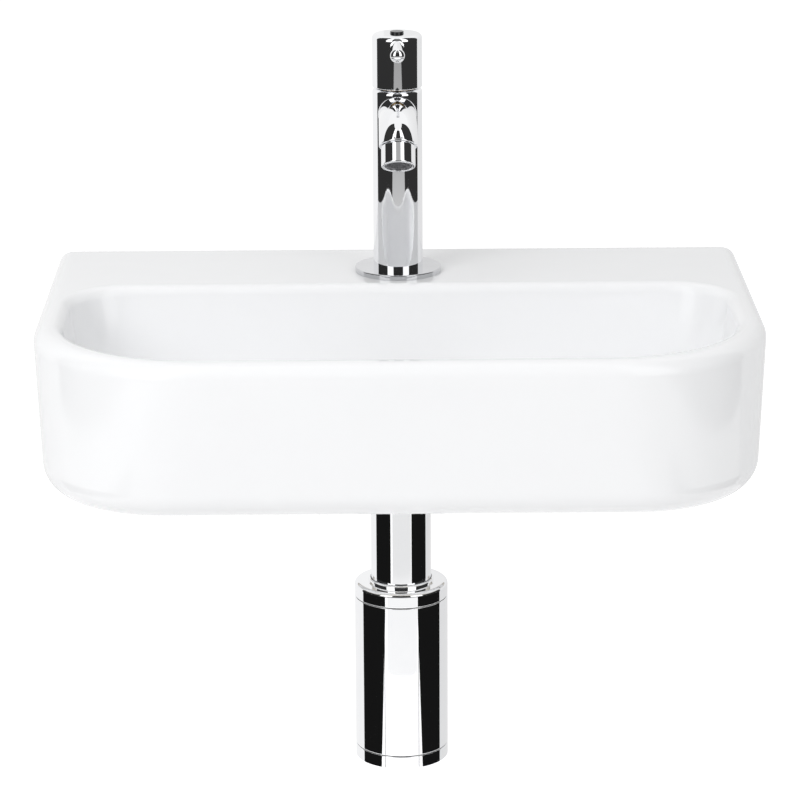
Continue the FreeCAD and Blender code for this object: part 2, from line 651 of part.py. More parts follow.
def handle_screw():
    """Screw that holds the handle on the spindle."""
    head_top = SCREW_SEAT_UP + SCREW_HEAD
    body = cylinder(SCREW_HEAD_R, SCREW_SEAT_UP, head_top, TAP_AXIS)
    body = body.fuse(cylinder(SCREW_R, SCREW_END_UP, SCREW_SEAT_UP, TAP_AXIS))
    return body.cut(hexagon(SCREW_KEY_FLATS, SCREW_SEAT_UP + 0.8, head_top + 1, TAP_AXIS))


def handle_cap():
    """Small dark plug over the screw."""
    body = cylinder(CAP_R, SCREW_SEAT_UP + SCREW_HEAD + 0.6, HANDLE_TOP_UP + CAP_PROUD, TAP_AXIS)
    return round_circles(body, 0.3, HANDLE_TOP_UP + CAP_PROUD, CAP_R, TAP_AXIS)


# ---------------------------------------------------------------- waste
WASTE_SEAL = 1.0
WASTE_FLANGE = 2.0
WASTE_SEAT_UP = -(BOWL_DEPTH + DIP_DEPTH + WASTE_RECESS_DEPTH)
WASTE_FLANGE_LOW = WASTE_SEAT_UP + WASTE_SEAL
WASTE_FLANGE_TOP = WASTE_FLANGE_LOW + WASTE_FLANGE
GRID_R = 20.0
GRID_LOW = WASTE_FLANGE_LOW + 0.3
GRID_THICK = 1.5
WASTE_SCREW_R = 3.0
GRID_HOLES = ((6, 8.0, 2.3), (12, 14.6, 2.8))   # how many, on what radius, hole radius
BAR_WIDE = 8.0
BAR_HIGH = 4.0
BAR_LOW_UP = -74.0
SCREW_DOME_R = 5.2
SCREW_DOME = 1.8
SCREW_SLOT = 1.2
BOTTOM_SEAL = 6.0
BOTTOM_SEAL_R = 31.0
TOP_SEAL_R = 30.5
WASTE_NUT = 7.0
WASTE_NUT_FLATS = 52.0


def waste_body():
    """Flanged tube through the floor of the bowl, with a bar for the grid's screw."""
    body = cylinder(WASTE_FLANGE_R, WASTE_FLANGE_LOW, WASTE_FLANGE_TOP, WASTE_AXIS)
    body = round_circles(body, 1.2, WASTE_FLANGE_TOP, WASTE_FLANGE_R, WASTE_AXIS)
    body = body.fuse(cylinder(WASTE_TAIL_R, -WASTE_TAIL_DOWN, WASTE_FLANGE_LOW, WASTE_AXIS))
    body = body.cut(cylinder(WASTE_BORE_R, -WASTE_TAIL_DOWN - 1, WASTE_FLANGE_TOP + 1, WASTE_AXIS))
    body = body.cut(cylinder(GRID_R + 0.1, GRID_LOW, WASTE_FLANGE_TOP + 1, WASTE_AXIS))
    reach = WASTE_BORE_R + 0.5
    low, high = BAR_LOW_UP - 1, BAR_LOW_UP + BAR_HIGH + 1
    corner = Vec(-reach, WASTE_Y - BAR_WIDE / 2, RIM_Z + BAR_LOW_UP)
    bar = Part.makeBox(2 * reach, BAR_WIDE, BAR_HIGH, corner)
    body = body.fuse(bar.common(cylinder(reach, low, high, WASTE_AXIS)))
    return body.cut(cylinder(WASTE_SCREW_R + THREAD_GAP, low, high, WASTE_AXIS))


def waste_grid():
    """Round grid over the waste, with two rings of holes."""
    top = GRID_LOW + GRID_THICK
    plate = cylinder(GRID_R, GRID_LOW, top, WASTE_AXIS)
    holes = [cylinder(WASTE_SCREW_R + 0.15, GRID_LOW - 1, top + 1, WASTE_AXIS)]
    for count, pitch_r, hole_r in GRID_HOLES:
        for k in range(count):
            angle = 2 * math.pi * k / count
            place = (pitch_r * math.cos(angle), WASTE_Y + pitch_r * math.sin(angle))
            holes.append(cylinder(hole_r, GRID_LOW - 1, top + 1, place))
    return plate.cut(Part.makeCompound(holes))


def waste_screw():
    """Screw that holds the grid to the bar below it."""
    seat = GRID_LOW + GRID_THICK
    head = cylinder(SCREW_DOME_R, seat, seat + SCREW_DOME, WASTE_AXIS)
    head = round_circles(head, 1.2, seat + SCREW_DOME, SCREW_DOME_R, WASTE_AXIS)
    corner = Vec(-SCREW_DOME_R - 1, WASTE_Y - SCREW_SLOT / 2, RIM_Z + seat + 1.0)
    slot = Part.makeBox(2 * SCREW_DOME_R + 2, SCREW_SLOT, SCREW_DOME, corner)
    return head.cut(slot).fuse(cylinder(WASTE_SCREW_R, BAR_LOW_UP - 1.5, seat, WASTE_AXIS))


def waste_top_seal():
    """Rubber ring between the waste's flange and the ceramic."""
    return ring(TOP_SEAL_R, WASTE_HOLE_R + 0.5, WASTE_SEAT_UP, WASTE_FLANGE_LOW, WASTE_AXIS)


def waste_bottom_seal():
    """Thick rubber ring under the bowl's floor."""
    return ring(BOTTOM_SEAL_R, WASTE_TAIL_R + 0.08, -FLOOR_UNDERSIDE - BOTTOM_SEAL,
                -FLOOR_UNDERSIDE, WASTE_AXIS)


def waste_backnut():
    """Brass nut that clamps the waste in the bowl."""
    top = -FLOOR_UNDERSIDE - BOTTOM_SEAL
    nut = hexagon(WASTE_NUT_FLATS, top - WASTE_NUT, top, WASTE_AXIS)
    return nut.cut(cylinder(WASTE_TAIL_R + THREAD_GAP, top - WASTE_NUT - 1, top + 1, WASTE_AXIS))


# ---------------------------------------------------------------- bottle trap
INLET_NUT_LOW = -99.0
INLET_NUT_HIGH = -87.6
INLET_NUT_R = 25.0
NUT_LIP = 2.0
TUBE_TOP_UP = -86.0
TUBE_END_UP = -220.0
CAP_SEAL_R = 16.75
LID_ROUND = 2.0
TUBE_COLLAR = 1.8               # proud of the lid, round the tube
TUBE_COLLAR_R = 17.4
TUBE_COLLAR_ROUND = 1.1
CAP_SEAL_DEEP = 1.2
TRAP_SPIGOT = 7.5
THREAD_BAND = 9.0               # height of the cup's screwed ends
FOOT_CUP_R = 20.5
FOOT_FLOOR = 3.0
TRAP_INNER_R = 23.4
BODY_TOP_UP = -TRAP_TOP_DOWN - TRAP_CAP_THICK - TRAP_GROOVE
FOOT_TOP_UP = -TRAP_BOTTOM_DOWN + TRAP_FOOT_THICK
BODY_LOW_UP = FOOT_TOP_UP + TRAP_GROOVE
BOSS_END_Y = WASTE_Y + TRAP_R + 13.0
OUTLET_SEAL = 4.0
OUTLET_NUT_R = 22.0
OUTLET_NUT_START_Y = BOSS_END_Y - 11.0
PLAY = 0.1


def inlet_tube():
    """Straight tube from the waste down into the trap."""
    return ring(PIPE_R, PIPE_R - PIPE_WALL, TUBE_END_UP, TUBE_TOP_UP, WASTE_AXIS)


def inlet_nut():
    """Coupling nut that closes the tube's joint with the waste."""
    body = cylinder(INLET_NUT_R, INLET_NUT_LOW, INLET_NUT_HIGH, WASTE_AXIS)
    body = round_circles(body, 0.8, INLET_NUT_LOW, INLET_NUT_R, WASTE_AXIS)
    body = body.cut(cylinder(PIPE_R + PLAY, INLET_NUT_LOW - 1, INLET_NUT_HIGH, WASTE_AXIS))
    return body.cut(cylinder(WASTE_TAIL_R + THREAD_GAP, INLET_NUT_LOW + NUT_LIP,
                             INLET_NUT_HIGH + 1, WASTE_AXIS))


def inlet_washer():
    """Rubber ring squeezed by the coupling nut."""
    return ring(WASTE_TAIL_R - 0.1, PIPE_R + 0.02, INLET_NUT_LOW + NUT_LIP, -WASTE_TAIL_DOWN,
                WASTE_AXIS)


def trap_top_cap():
    """Screwed lid of the trap, with the hole for the tube."""
    top = -TRAP_TOP_DOWN
    body = cylinder(TRAP_R, top - TRAP_CAP_THICK, top, WASTE_AXIS)
    body = round_circles(body, LID_ROUND, top, TRAP_R, WASTE_AXIS)
    spigot_low = top - TRAP_CAP_THICK - TRAP_SPIGOT
    body = body.fuse(cylinder(TRAP_BORE_R - THREAD_GAP, spigot_low, top - TRAP_CAP_THICK,
                              WASTE_AXIS))
    body = body.cut(cylinder(PIPE_R + PLAY, spigot_low - 1, top + 1, WASTE_AXIS))
    body = body.cut(cylinder(CAP_SEAL_R + 0.05, top - CAP_SEAL_DEEP, top, WASTE_AXIS))
    collar_top = top + TUBE_COLLAR
    collar = ring(TUBE_COLLAR_R, PIPE_R + PLAY, top, collar_top, WASTE_AXIS)
    collar = round_circles(collar, TUBE_COLLAR_ROUND, collar_top, TUBE_COLLAR_R, WASTE_AXIS)
    return body.fuse(collar)


def trap_inlet_seal():
    """Rubber ring round the foot of the tube, under the collar of the lid."""
    top = -TRAP_TOP_DOWN
    return ring(CAP_SEAL_R, PIPE_R + 0.02, top - CAP_SEAL_DEEP, top, WASTE_AXIS)


def trap_lid_seal():
    """Flat ring in the groove under the lid."""
    return ring(TRAP_R - 0.5, TRAP_BORE_R + 0.05, BODY_TOP_UP, BODY_TOP_UP + TRAP_GROOVE,
                WASTE_AXIS)


def trap_body():
    """Cup of the trap, with a boss at the back for the outlet."""
    body = cylinder(TRAP_R, BODY_LOW_UP, BODY_TOP_UP, WASTE_AXIS)
    body = body.fuse(along_y(OUTLET_BOSS_R, WASTE_Y + 10.0, BOSS_END_Y, -OUTLET_DOWN))
    body = body.cut(cylinder(TRAP_BORE_R, BODY_LOW_UP - 1, BODY_TOP_UP + 1, WASTE_AXIS))
    body = body.cut(cylinder(TRAP_INNER_R, BODY_LOW_UP + THREAD_BAND, BODY_TOP_UP - THREAD_BAND,
                             WASTE_AXIS))
    return body.cut(along_y(PIPE_R + PLAY, WASTE_Y, BOSS_END_Y + 1, -OUTLET_DOWN))


def trap_bottom_cap():
    """Screwed foot of the trap, taken off to clean it."""
    low = -TRAP_BOTTOM_DOWN
    body = cylinder(TRAP_R, low, FOOT_TOP_UP, WASTE_AXIS)
    body = round_circles(body, 2.0, low, TRAP_R, WASTE_AXIS)
    spigot = TRAP_BORE_R - THREAD_GAP
    body = body.fuse(cylinder(spigot, FOOT_TOP_UP, FOOT_TOP_UP + TRAP_SPIGOT, WASTE_AXIS))
    return body.cut(cylinder(FOOT_CUP_R, low + FOOT_FLOOR, FOOT_TOP_UP + TRAP_SPIGOT + 1,
                             WASTE_AXIS))


def trap_bottom_seal():
    """Flat ring in the groove above the foot."""
    return ring(TRAP_R - 0.5, TRAP_BORE_R + 0.05, FOOT_TOP_UP, BODY_LOW_UP, WASTE_AXIS)


def outlet_nut():
    """Coupling nut on the boss at the back of the trap."""
    end = BOSS_END_Y + OUTLET_SEAL + NUT_LIP
    body = along_y(OUTLET_NUT_R, OUTLET_NUT_START_Y, end, -OUTLET_DOWN)
    body = body.cut(along_y(PIPE_R + PLAY, OUTLET_NUT_START_Y - 1, end + 1, -OUTLET_DOWN))
    return body.cut(along_y(OUTLET_BOSS_R + THREAD_GAP, OUTLET_NUT_START_Y - 1, end - NUT_LIP,
                            -OUTLET_DOWN))


def outlet_seal():
    """Rubber ring between the boss and the coupling nut."""
    end = BOSS_END_Y + OUTLET_SEAL
    body = along_y(OUTLET_BOSS_R - 0.1, BOSS_END_Y, end, -OUTLET_DOWN)
    return body.cut(along_y(PIPE_R + 0.02, BOSS_END_Y - 1, end + 1, -OUTLET_DOWN))


def outlet_pipe():
    """Level pipe from the trap into the wall, with a rolled stop bead at the wall face."""
    start = WASTE_Y + TRAP_INNER_R + 0.5
    bead = along_y(STOP_BEAD_R, -STOP_BEAD, 0, -OUTLET_DOWN)
    bead = bead.makeFillet(STOP_BEAD_ROUND, edges_where(bead, lambda box: box.YLength < 0.01))
    body = along_y(PIPE_R, start, OUTLET_IN_WALL, -OUTLET_DOWN).fuse(bead)
    return body.cut(along_y(PIPE_R - PIPE_WALL, start - 1, OUTLET_IN_WALL + 1, -OUTLET_DOWN))


SUB_PARTS = [
    ceramic_basin, wall_studs, stud_sleeves, stud_washers, stud_nuts,
    tap_flange, tap_deck_seal, tap_pillar, tap_tail, tap_clamp_rubber, tap_clamp_washer,
    tap_backnut, tap_spout, aerator_housing, aerator_insert, aerator_seal,
    headwork_body, headwork_seat_seal, headwork_o_ring, fixed_disc, moving_disc,
    spindle, spindle_o_rings, spindle_circlip,
    tap_handle, pin_lever, handle_screw, handle_cap,
    waste_body, waste_grid, waste_screw, waste_top_seal, waste_bottom_seal, waste_backnut,
    inlet_tube, inlet_nut, inlet_washer,
    trap_top_cap, trap_inlet_seal, trap_lid_seal, trap_body, trap_bottom_cap,
    trap_bottom_seal, outlet_nut, outlet_seal, outlet_pipe,
]


def main():
    """Builds every sub-part and writes it under its own name."""
    os.makedirs("parts", exist_ok=True)
    for make in SUB_PARTS:
        save(make(), make.__name__)


main()
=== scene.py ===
"""Looks of a small wall hung hand basin with a pillar tap and a bottle trap.

Lengths are in metres in the row frame: +X to the user's right, +Y into the wall, +Z up, with the
origin midway between the two wall studs on the wall face. Heights called `up` are measured from
the rim of the basin.
"""
import sys
import logging
import math
from dataclasses import dataclass, field
from enum import Enum
from typing import Iterable, Sequence

import bmesh
import bpy
import numpy as np
from mathutils import Matrix, Vector


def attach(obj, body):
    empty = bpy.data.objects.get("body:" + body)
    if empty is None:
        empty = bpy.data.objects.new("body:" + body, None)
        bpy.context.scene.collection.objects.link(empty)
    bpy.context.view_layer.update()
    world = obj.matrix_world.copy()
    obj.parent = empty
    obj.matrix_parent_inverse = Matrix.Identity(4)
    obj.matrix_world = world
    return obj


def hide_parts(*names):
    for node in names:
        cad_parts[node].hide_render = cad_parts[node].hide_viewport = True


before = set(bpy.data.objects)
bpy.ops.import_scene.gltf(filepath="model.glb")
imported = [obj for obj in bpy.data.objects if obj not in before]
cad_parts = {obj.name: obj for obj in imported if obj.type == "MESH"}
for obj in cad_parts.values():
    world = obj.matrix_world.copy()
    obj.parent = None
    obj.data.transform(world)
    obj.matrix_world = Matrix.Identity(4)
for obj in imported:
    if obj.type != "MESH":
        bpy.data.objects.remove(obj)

LOG = logging.getLogger("basin")
MM = 0.001
RIM_Z = 38 * MM
EDGE = 0.3 * MM             # usual rounding of a turned edge
Triple = tuple[float, float, float]
Socket = bpy.types.NodeSocket


class Body(Enum):
    """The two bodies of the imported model."""

    BASIN = "basin"
    HANDLE = "handle"


class Slot(Enum):
    """The record's material slots, kept on the new pieces."""

    CERAMIC = "ceramic"
    CHROME = "chrome"
    MESH_PLASTIC = "mesh_plastic"
    CAP_PLASTIC = "cap_plastic"


# ------------------------------------------------------------------ surfaces
@dataclass
class Surface:
    """A grid of points that becomes quads.

    Fields:
        points: array (rows, columns, 3).
        wrap_rows: the last row joins the first.
        wrap_columns: the last column joins the first.
    """

    points: np.ndarray
    wrap_rows: bool = False
    wrap_columns: bool = True

    def quads(self, start: int) -> np.ndarray:
        """Corner indices of the grid's quads.

        Args:
            start: index of the grid's first point in the whole mesh.

        Returns:
            Array (quads, 4).
        """
        rows, columns = self.points.shape[:2]
        index = np.arange(rows * columns).reshape(rows, columns) + start
        if self.wrap_rows:
            index = np.vstack([index, index[:1]])
        if self.wrap_columns:
            index = np.hstack([index, index[:, :1]])
        corners = [index[:-1, :-1], index[:-1, 1:], index[1:, 1:], index[1:, :-1]]
        return np.stack(corners, axis=-1).reshape(-1, 4)


def rounded_profile(corners: Sequence[Triple], closed: bool = True,
                    steps: int = 8, support: float = 0.15 * MM) -> np.ndarray:
    """Polyline whose corners are replaced by arcs.

    Formula: at a corner with directions u and v to its neighbours and the angle a between them,
    the arc of radius r starts r / tan(a / 2) before the corner and its centre lies r / sin(a / 2)
    from it on the bisector. One extra point near each end of an arc keeps flat runs flat.

    Args:
        corners: (first, second, arc radius) of each corner.
        closed: the last corner joins the first.
        steps: parts of each arc.
        support: distance of the extra points from the arc.

    Returns:
        Array (n, 2).
    """
    flat = np.array([corner[:2] for corner in corners], float)
    runs = []
    for i, (first, second, radius) in enumerate(corners):
        here = np.array([first, second])
        if radius <= 0 or (not closed and i in (0, len(corners) - 1)):
            runs.append(here[None])
            continue
        back, on = flat[i - 1] - here, flat[(i + 1) % len(flat)] - here
        back_length, on_length = np.linalg.norm(back), np.linalg.norm(on)
        u, v = back / back_length, on / on_length
        angle = math.acos(float(np.clip(u @ v, -1, 1)))
        reach = radius / math.tan(angle / 2)
        middle = (u + v) / np.linalg.norm(u + v)
        centre = here + middle * radius / math.sin(angle / 2)
        start, end = here + u * reach - centre, here + v * reach - centre
        sweep = math.pi - angle
        s = np.linspace(0, 1, steps + 1)[:, None]
        arc = centre + (np.sin((1 - s) * sweep) * start + np.sin(s * sweep) * end) / math.sin(sweep)
        before = here + u * min(reach + support, 0.5 * (reach + back_length))
        after = here + v * min(reach + support, 0.5 * (reach + on_length))
        runs.append(np.vstack([before[None], arc, after[None]]))
    return np.vstack(runs)


def revolve(profile: np.ndarray, origin: Sequence[float], axis: Sequence[float] = (0, 0, 1),
            segments: int = 144, closed: bool = True) -> Surface:
    """Surface of revolution.

    Formula: origin + axis * height + radius * (cos a * e1 + sin a * e2), for each profile point
    (radius, height) and each angle a, where e1 and e2 are square to the axis.

    Args:
        profile: array (n, 2) of radius and height.
        origin: where height 0 lies on the axis.
        axis: direction of the axis.
        segments: parts round the circle.
        closed: the profile is a closed loop.

    Returns:
        The surface.
    """
    along = Vector(axis).normalized()
    side = Vector((1, 0, 0)) if abs(along.x) < 0.9 else Vector((0, 0, 1))
    e1 = along.cross(side).normalized()
    e2 = along.cross(e1)
    a = np.linspace(0, 2 * np.pi, segments, endpoint=False)
    ring = np.cos(a)[:, None] * np.array(e1) + np.sin(a)[:, None] * np.array(e2)
    points = (np.array(origin) + profile[:, 1, None, None] * np.array(along)
              + profile[:, 0, None, None] * ring[None])
    return Surface(points, wrap_rows=closed)


def mesh_from(name: str, surfaces: Iterable[Surface], sharp_deg: float = 32.0) -> bpy.types.Mesh:
    """Mesh of several grids, welded, facing outwards and smooth except over sharp edges.

    Args:
        name: name of the mesh.
        surfaces: the grids.
        sharp_deg: edges that turn more than this stay sharp.

    Returns:
        The mesh.
    """
    blocks, quads, start = [], [], 0
    for surface in surfaces:
        blocks.append(surface.points.reshape(-1, 3))
        quads.append(surface.quads(start))
        start += len(blocks[-1])
    points, corners = np.vstack(blocks), np.vstack(quads)
    mesh = bpy.data.meshes.new(name)
    mesh.vertices.add(len(points))
    mesh.vertices.foreach_set("co", points.ravel())
    mesh.loops.add(corners.size)
    mesh.loops.foreach_set("vertex_index", corners.ravel())
    mesh.polygons.add(len(corners))
    mesh.polygons.foreach_set("loop_start", np.arange(0, corners.size, 4))
    mesh.update(calc_edges=True)
    clean(mesh, sharp_deg)
    return mesh


def clean(mesh: bpy.types.Mesh, sharp_deg: float) -> None:
    """Welds a mesh, turns its faces outwards and marks its sharp edges.

    Args:
        mesh: the mesh.
        sharp_deg: edges that turn more than this stay sharp.
    """
    work = bmesh.new()
    work.from_mesh(mesh)
    bmesh.ops.remove_doubles(work, verts=work.verts, dist=2e-6)
    bmesh.ops.dissolve_degenerate(work, edges=work.edges, dist=1e-7)
    bmesh.ops.recalc_face_normals(work, faces=work.faces)
    work.to_mesh(mesh)
    work.free()
    mesh.polygons.foreach_set("use_smooth", np.ones(len(mesh.polygons), bool))
    mesh.set_sharp_from_angle(angle=math.radians(sharp_deg))
    mesh.update()


def add_object(name: str, data: bpy.types.ID) -> bpy.types.Object:
    """Puts an object in the scene.

    Args:
        name: its name.
        data: its mesh, lamp or camera.

    Returns:
        The object.
    """
    thing = bpy.data.objects.new(name, data)
    bpy.context.scene.collection.objects.link(thing)
    return thing


@dataclass
class Piece:
    """One visible piece and what it stands for.

    Fields:
        name: object name.
        mesh: its mesh, in place in the row frame.
        finish: its finish.
        slot: the record's slot it belongs to; not used.
        body: the body it rides on.
        replaces: CAD nodes that it stands for.
    """

    name: str
    mesh: bpy.types.Mesh
    finish: "Finish"
    slot: Slot
    body: Body = Body.BASIN
    replaces: tuple[str, ...] = ()

    def place(self) -> None:
        """Puts the piece in the scene, on its body."""
        thing = add_object(self.name, self.mesh)
        thing.data.materials.clear()
        thing.data.materials.append(self.finish.material())
        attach(thing, self.body.value)
        if self.replaces:
            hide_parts(*self.replaces)
        LOG.info("%s: %d faces, stands for %s", self.name, len(self.mesh.polygons), self.replaces)


def dress(node: str, finish: "Finish") -> None:
    """Gives a CAD node a finish.

    Args:
        node: name of the node.
        finish: its finish.
    """
    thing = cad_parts[node]
    if not thing.material_slots:
        thing.data.materials.append(None)
    for slot in thing.material_slots:
        slot.material = finish.material()
    LOG.info("%s: CAD node, %s", node, finish.name)


# ------------------------------------------------------------------ finishes
class Nodes:
    """Small builder for a material's node tree."""

    def __init__(self, name: str) -> None:
        """Starts a material of this name, with a Principled shader."""
        self.material = bpy.data.materials.new(name)
        self.material.use_nodes = True
        self.tree = self.material.node_tree
        self.shader = self.tree.nodes["Principled BSDF"]

    def add(self, kind: str, **values: object) -> bpy.types.Node:
        """Adds a node of this kind and sets its properties."""
        node = self.tree.nodes.new(kind)
        for key, value in values.items():
            setattr(node, key, value)
        return node

    def join(self, output: Socket, target: Socket) -> None:
        """Links two sockets."""
        self.tree.links.new(output, target)

    def place(self) -> Socket:
        """Object coordinates, in metres."""
        return self.add("ShaderNodeTexCoord").outputs["Object"]

    def noise(self, scale: float, detail: float = 3.0, roughness: float = 0.55,
              stretch: Triple = (1, 1, 1)) -> Socket:
        """Noise on object coordinates.

        Args:
            scale: waves per metre.
            detail: octaves.
            roughness: weight of the finer octaves.
            stretch: scale along each axis.

        Returns:
            Its 0 to 1 output.
        """
        mapping = self.add("ShaderNodeMapping")
        mapping.inputs["Scale"].default_value = stretch
        self.join(self.place(), mapping.inputs["Vector"])
        node = self.add("ShaderNodeTexNoise")
        node.inputs["Scale"].default_value = scale
        node.inputs["Detail"].default_value = detail
        node.inputs["Roughness"].default_value = roughness
        self.join(mapping.outputs["Vector"], node.inputs["Vector"])
        return node.outputs["Fac"]

    def remap(self, value: Socket, low: float, high: float,
              start: float = 0.3, end: float = 0.7) -> Socket:
        """Maps the range start..end of a value to low..high."""
        node = self.add("ShaderNodeMapRange")
        sockets = {"From Min": start, "From Max": end, "To Min": low, "To Max": high}
        for key, number in sockets.items():
            node.inputs[key].default_value = number
        self.join(value, node.inputs["Value"])
        return node.outputs["Result"]

    def blend(self, factor: Socket, first: object, second: object) -> Socket:
        """Colour from first, at factor 0, to second; both are colours or sockets."""
        node = self.add("ShaderNodeMix", data_type="RGBA")
        self.join(factor, node.inputs["Factor"])
        for socket, value in ((node.inputs[6], first), (node.inputs[7], second)):
            if isinstance(value, Socket):
                self.join(value, socket)
            else:
                socket.default_value = (*value, 1.0)
        return node.outputs[2]

    def math(self, kind: str, first: Socket, second: object) -> Socket:
        """One arithmetic step on a socket and a socket or number."""
        node = self.add("ShaderNodeMath", operation=kind)
        self.join(first, node.inputs[0])
        if isinstance(second, Socket):
            self.join(second, node.inputs[1])
        else:
            node.inputs[1].default_value = second
        return node.outputs[0]

    def relief(self, heights: Sequence[tuple[Socket, float]]) -> None:
        """Stacks height fields as bumps into the shader's normal.

        Args:
            heights: each height field and its depth in metres.
        """
        normal = None
        for height, depth in heights:
            bump = self.add("ShaderNodeBump")
            bump.inputs["Strength"].default_value = 1.0
            bump.inputs["Distance"].default_value = depth
            self.join(height, bump.inputs["Height"])
            if normal is not None:
                self.join(normal, bump.inputs["Normal"])
            normal = bump.outputs["Normal"]
        self.join(normal, self.shader.inputs["Normal"])

    def set(self, **values: object) -> None:
        """Sets constants on the shader, with underscores for spaces in the socket names."""
        for key, value in values.items():
            self.shader.inputs[key.replace("_", " ")].default_value = value


@dataclass(frozen=True)
class Finish:
    """A finish: a named material that is built once.

    Fields:
        name: name of the material.
        colour: main colour.
        colour_2: colour it varies towards.
        rough_low: smallest roughness.
        rough_high: largest roughness.
    """

    name: str
    colour: Triple
    colour_2: Triple
    rough_low: float
    rough_high: float

    def material(self) -> bpy.types.Material:
        """The material, built at the first call."""
        found = bpy.data.materials.get(self.name)
        return found if found else self.build()

    def build(self) -> bpy.types.Material:
        """Builds the material; each kind of finish has its own."""
        raise NotImplementedError


@dataclass(frozen=True)
class Glaze(Finish):
    """White glaze with a faint unevenness, and bare ceramic on the wall face and the foot.

    Fields:
        bare, bare_shade: colour of the bare ceramic, and its share in the darker grains.
        bare_back: the bare ceramic starts at this y.
        bare_foot: and below this z.
    """

    bare: Triple = (0.74, 0.70, 0.63)
    bare_shade: float = 0.86
    bare_back: float = -0.4 * MM
    bare_foot: float = RIM_Z - 82.6 * MM

    def build(self) -> bpy.types.Material:
        """White glaze with a swell and a fine peel; the bare faces are picked by their place."""
        nodes = Nodes(self.name)
        split = nodes.add("ShaderNodeSeparateXYZ")
        nodes.join(nodes.place(), split.inputs[0])
        at_back = nodes.math("GREATER_THAN", split.outputs["Y"], self.bare_back)
        at_foot = nodes.math("LESS_THAN", split.outputs["Z"], self.bare_foot)
        bare = nodes.math("MAXIMUM", at_back, at_foot)
        white = nodes.blend(nodes.remap(nodes.noise(14.0), 0, 1), self.colour, self.colour_2)
        grain = nodes.noise(900.0, 4.0, 0.7)
        clay = nodes.blend(grain, self.bare, tuple(self.bare_shade * c for c in self.bare))
        nodes.join(nodes.blend(bare, white, clay), nodes.shader.inputs["Base Color"])
        gloss = nodes.remap(nodes.noise(35.0), self.rough_low, self.rough_high)
        dull = nodes.math("MULTIPLY", bare, 0.7)
        nodes.join(nodes.math("ADD", gloss, dull), nodes.shader.inputs["Roughness"])
        nodes.set(IOR=1.48)
        swell = nodes.noise(16.0, 2.0, 0.4)
        peel = nodes.noise(420.0, 2.0, 0.5)
        nodes.relief([(swell, 0.25 * MM), (peel, 0.0016 * MM)])
        return nodes.material


@dataclass(frozen=True)
class Plated(Finish):
    """Bright plated or turned metal with faint polishing marks.

    Fields:
        marks: depth of the polishing marks, in metres.
        stretch: how the marks run, as a scale along each axis.
    """

    marks: float = 0.0006 * MM
    stretch: Triple = (1, 1, 6)

    def build(self) -> bpy.types.Material:
        """Metal whose roughness and relief follow fine stretched noise."""
        nodes = Nodes(self.name)
        tone = nodes.remap(nodes.noise(60.0), 0, 1)
        nodes.join(nodes.blend(tone, self.colour, self.colour_2),
                   nodes.shader.inputs["Base Color"])
        film = nodes.noise(220.0, 5.0, 0.6, self.stretch)
        nodes.join(nodes.remap(film, self.rough_low, self.rough_high),
                   nodes.shader.inputs["Roughness"])
        nodes.set(Metallic=1.0)
        nodes.relief([(nodes.noise(500.0, 3.0, 0.6, self.stretch), self.marks)])
        return nodes.material


@dataclass(frozen=True)
class Moulded(Finish):
    """Moulded rubber or plastic.

    Fields:
        grain: depth of the surface grain, in metres.
    """

    grain: float = 0.02 * MM

    def build(self) -> bpy.types.Material:
        """Plain colour with a fine grain and slightly uneven gloss."""
        nodes = Nodes(self.name)
        tone = nodes.remap(nodes.noise(240.0), 0, 1)
        nodes.join(nodes.blend(tone, self.colour, self.colour_2),
                   nodes.shader.inputs["Base Color"])
        nodes.join(nodes.remap(nodes.noise(90.0), self.rough_low, self.rough_high),
                   nodes.shader.inputs["Roughness"])
        nodes.relief([(nodes.noise(2600.0, 3.0, 0.6), self.grain)])
        return nodes.material


GLAZE = Glaze("white_glaze", (0.925, 0.93, 0.94), (0.915, 0.92, 0.93), 0.045, 0.07)
CHROME = Plated("bright_chrome", (0.93, 0.935, 0.945), (0.91, 0.915, 0.93), 0.012, 0.035)
FLANGE_CHROME = Plated("flange_chrome", (0.66, 0.665, 0.68), (0.62, 0.625, 0.64), 0.02, 0.05)
BRASS = Plated("turned_brass", (0.72, 0.53, 0.26), (0.62, 0.44, 0.20), 0.18, 0.34,
               marks=0.006 * MM)
ZINC = Plated("zinc_steel", (0.62, 0.62, 0.60), (0.52, 0.52, 0.51), 0.25, 0.42, marks=0.008 * MM,
              stretch=(1, 8, 1))
SCREW_STEEL = Plated("plain_steel", (0.58, 0.58, 0.58), (0.48, 0.48, 0.49), 0.22, 0.36,
                     marks=0.006 * MM)
RUBBER = Moulded("black_rubber", (0.022, 0.022, 0.023), (0.035, 0.035, 0.036), 0.55, 0.75)
SLEEVE = Moulded("white_plastic", (0.78, 0.78, 0.75), (0.70, 0.70, 0.67), 0.38, 0.5)
MESH_GREY = Moulded("grey_mesh", (0.20, 0.20, 0.21), (0.13, 0.13, 0.14), 0.35, 0.5,
                    grain=0.004 * MM)
PLUG_BLACK = Moulded("black_plug", (0.012, 0.012, 0.013), (0.02, 0.02, 0.021), 0.12, 0.2,
                     grain=0.002 * MM)
DISC_WHITE = Moulded("lapped_ceramic", (0.84, 0.83, 0.79), (0.78, 0.77, 0.73), 0.2, 0.3,
                     grain=0.002 * MM)


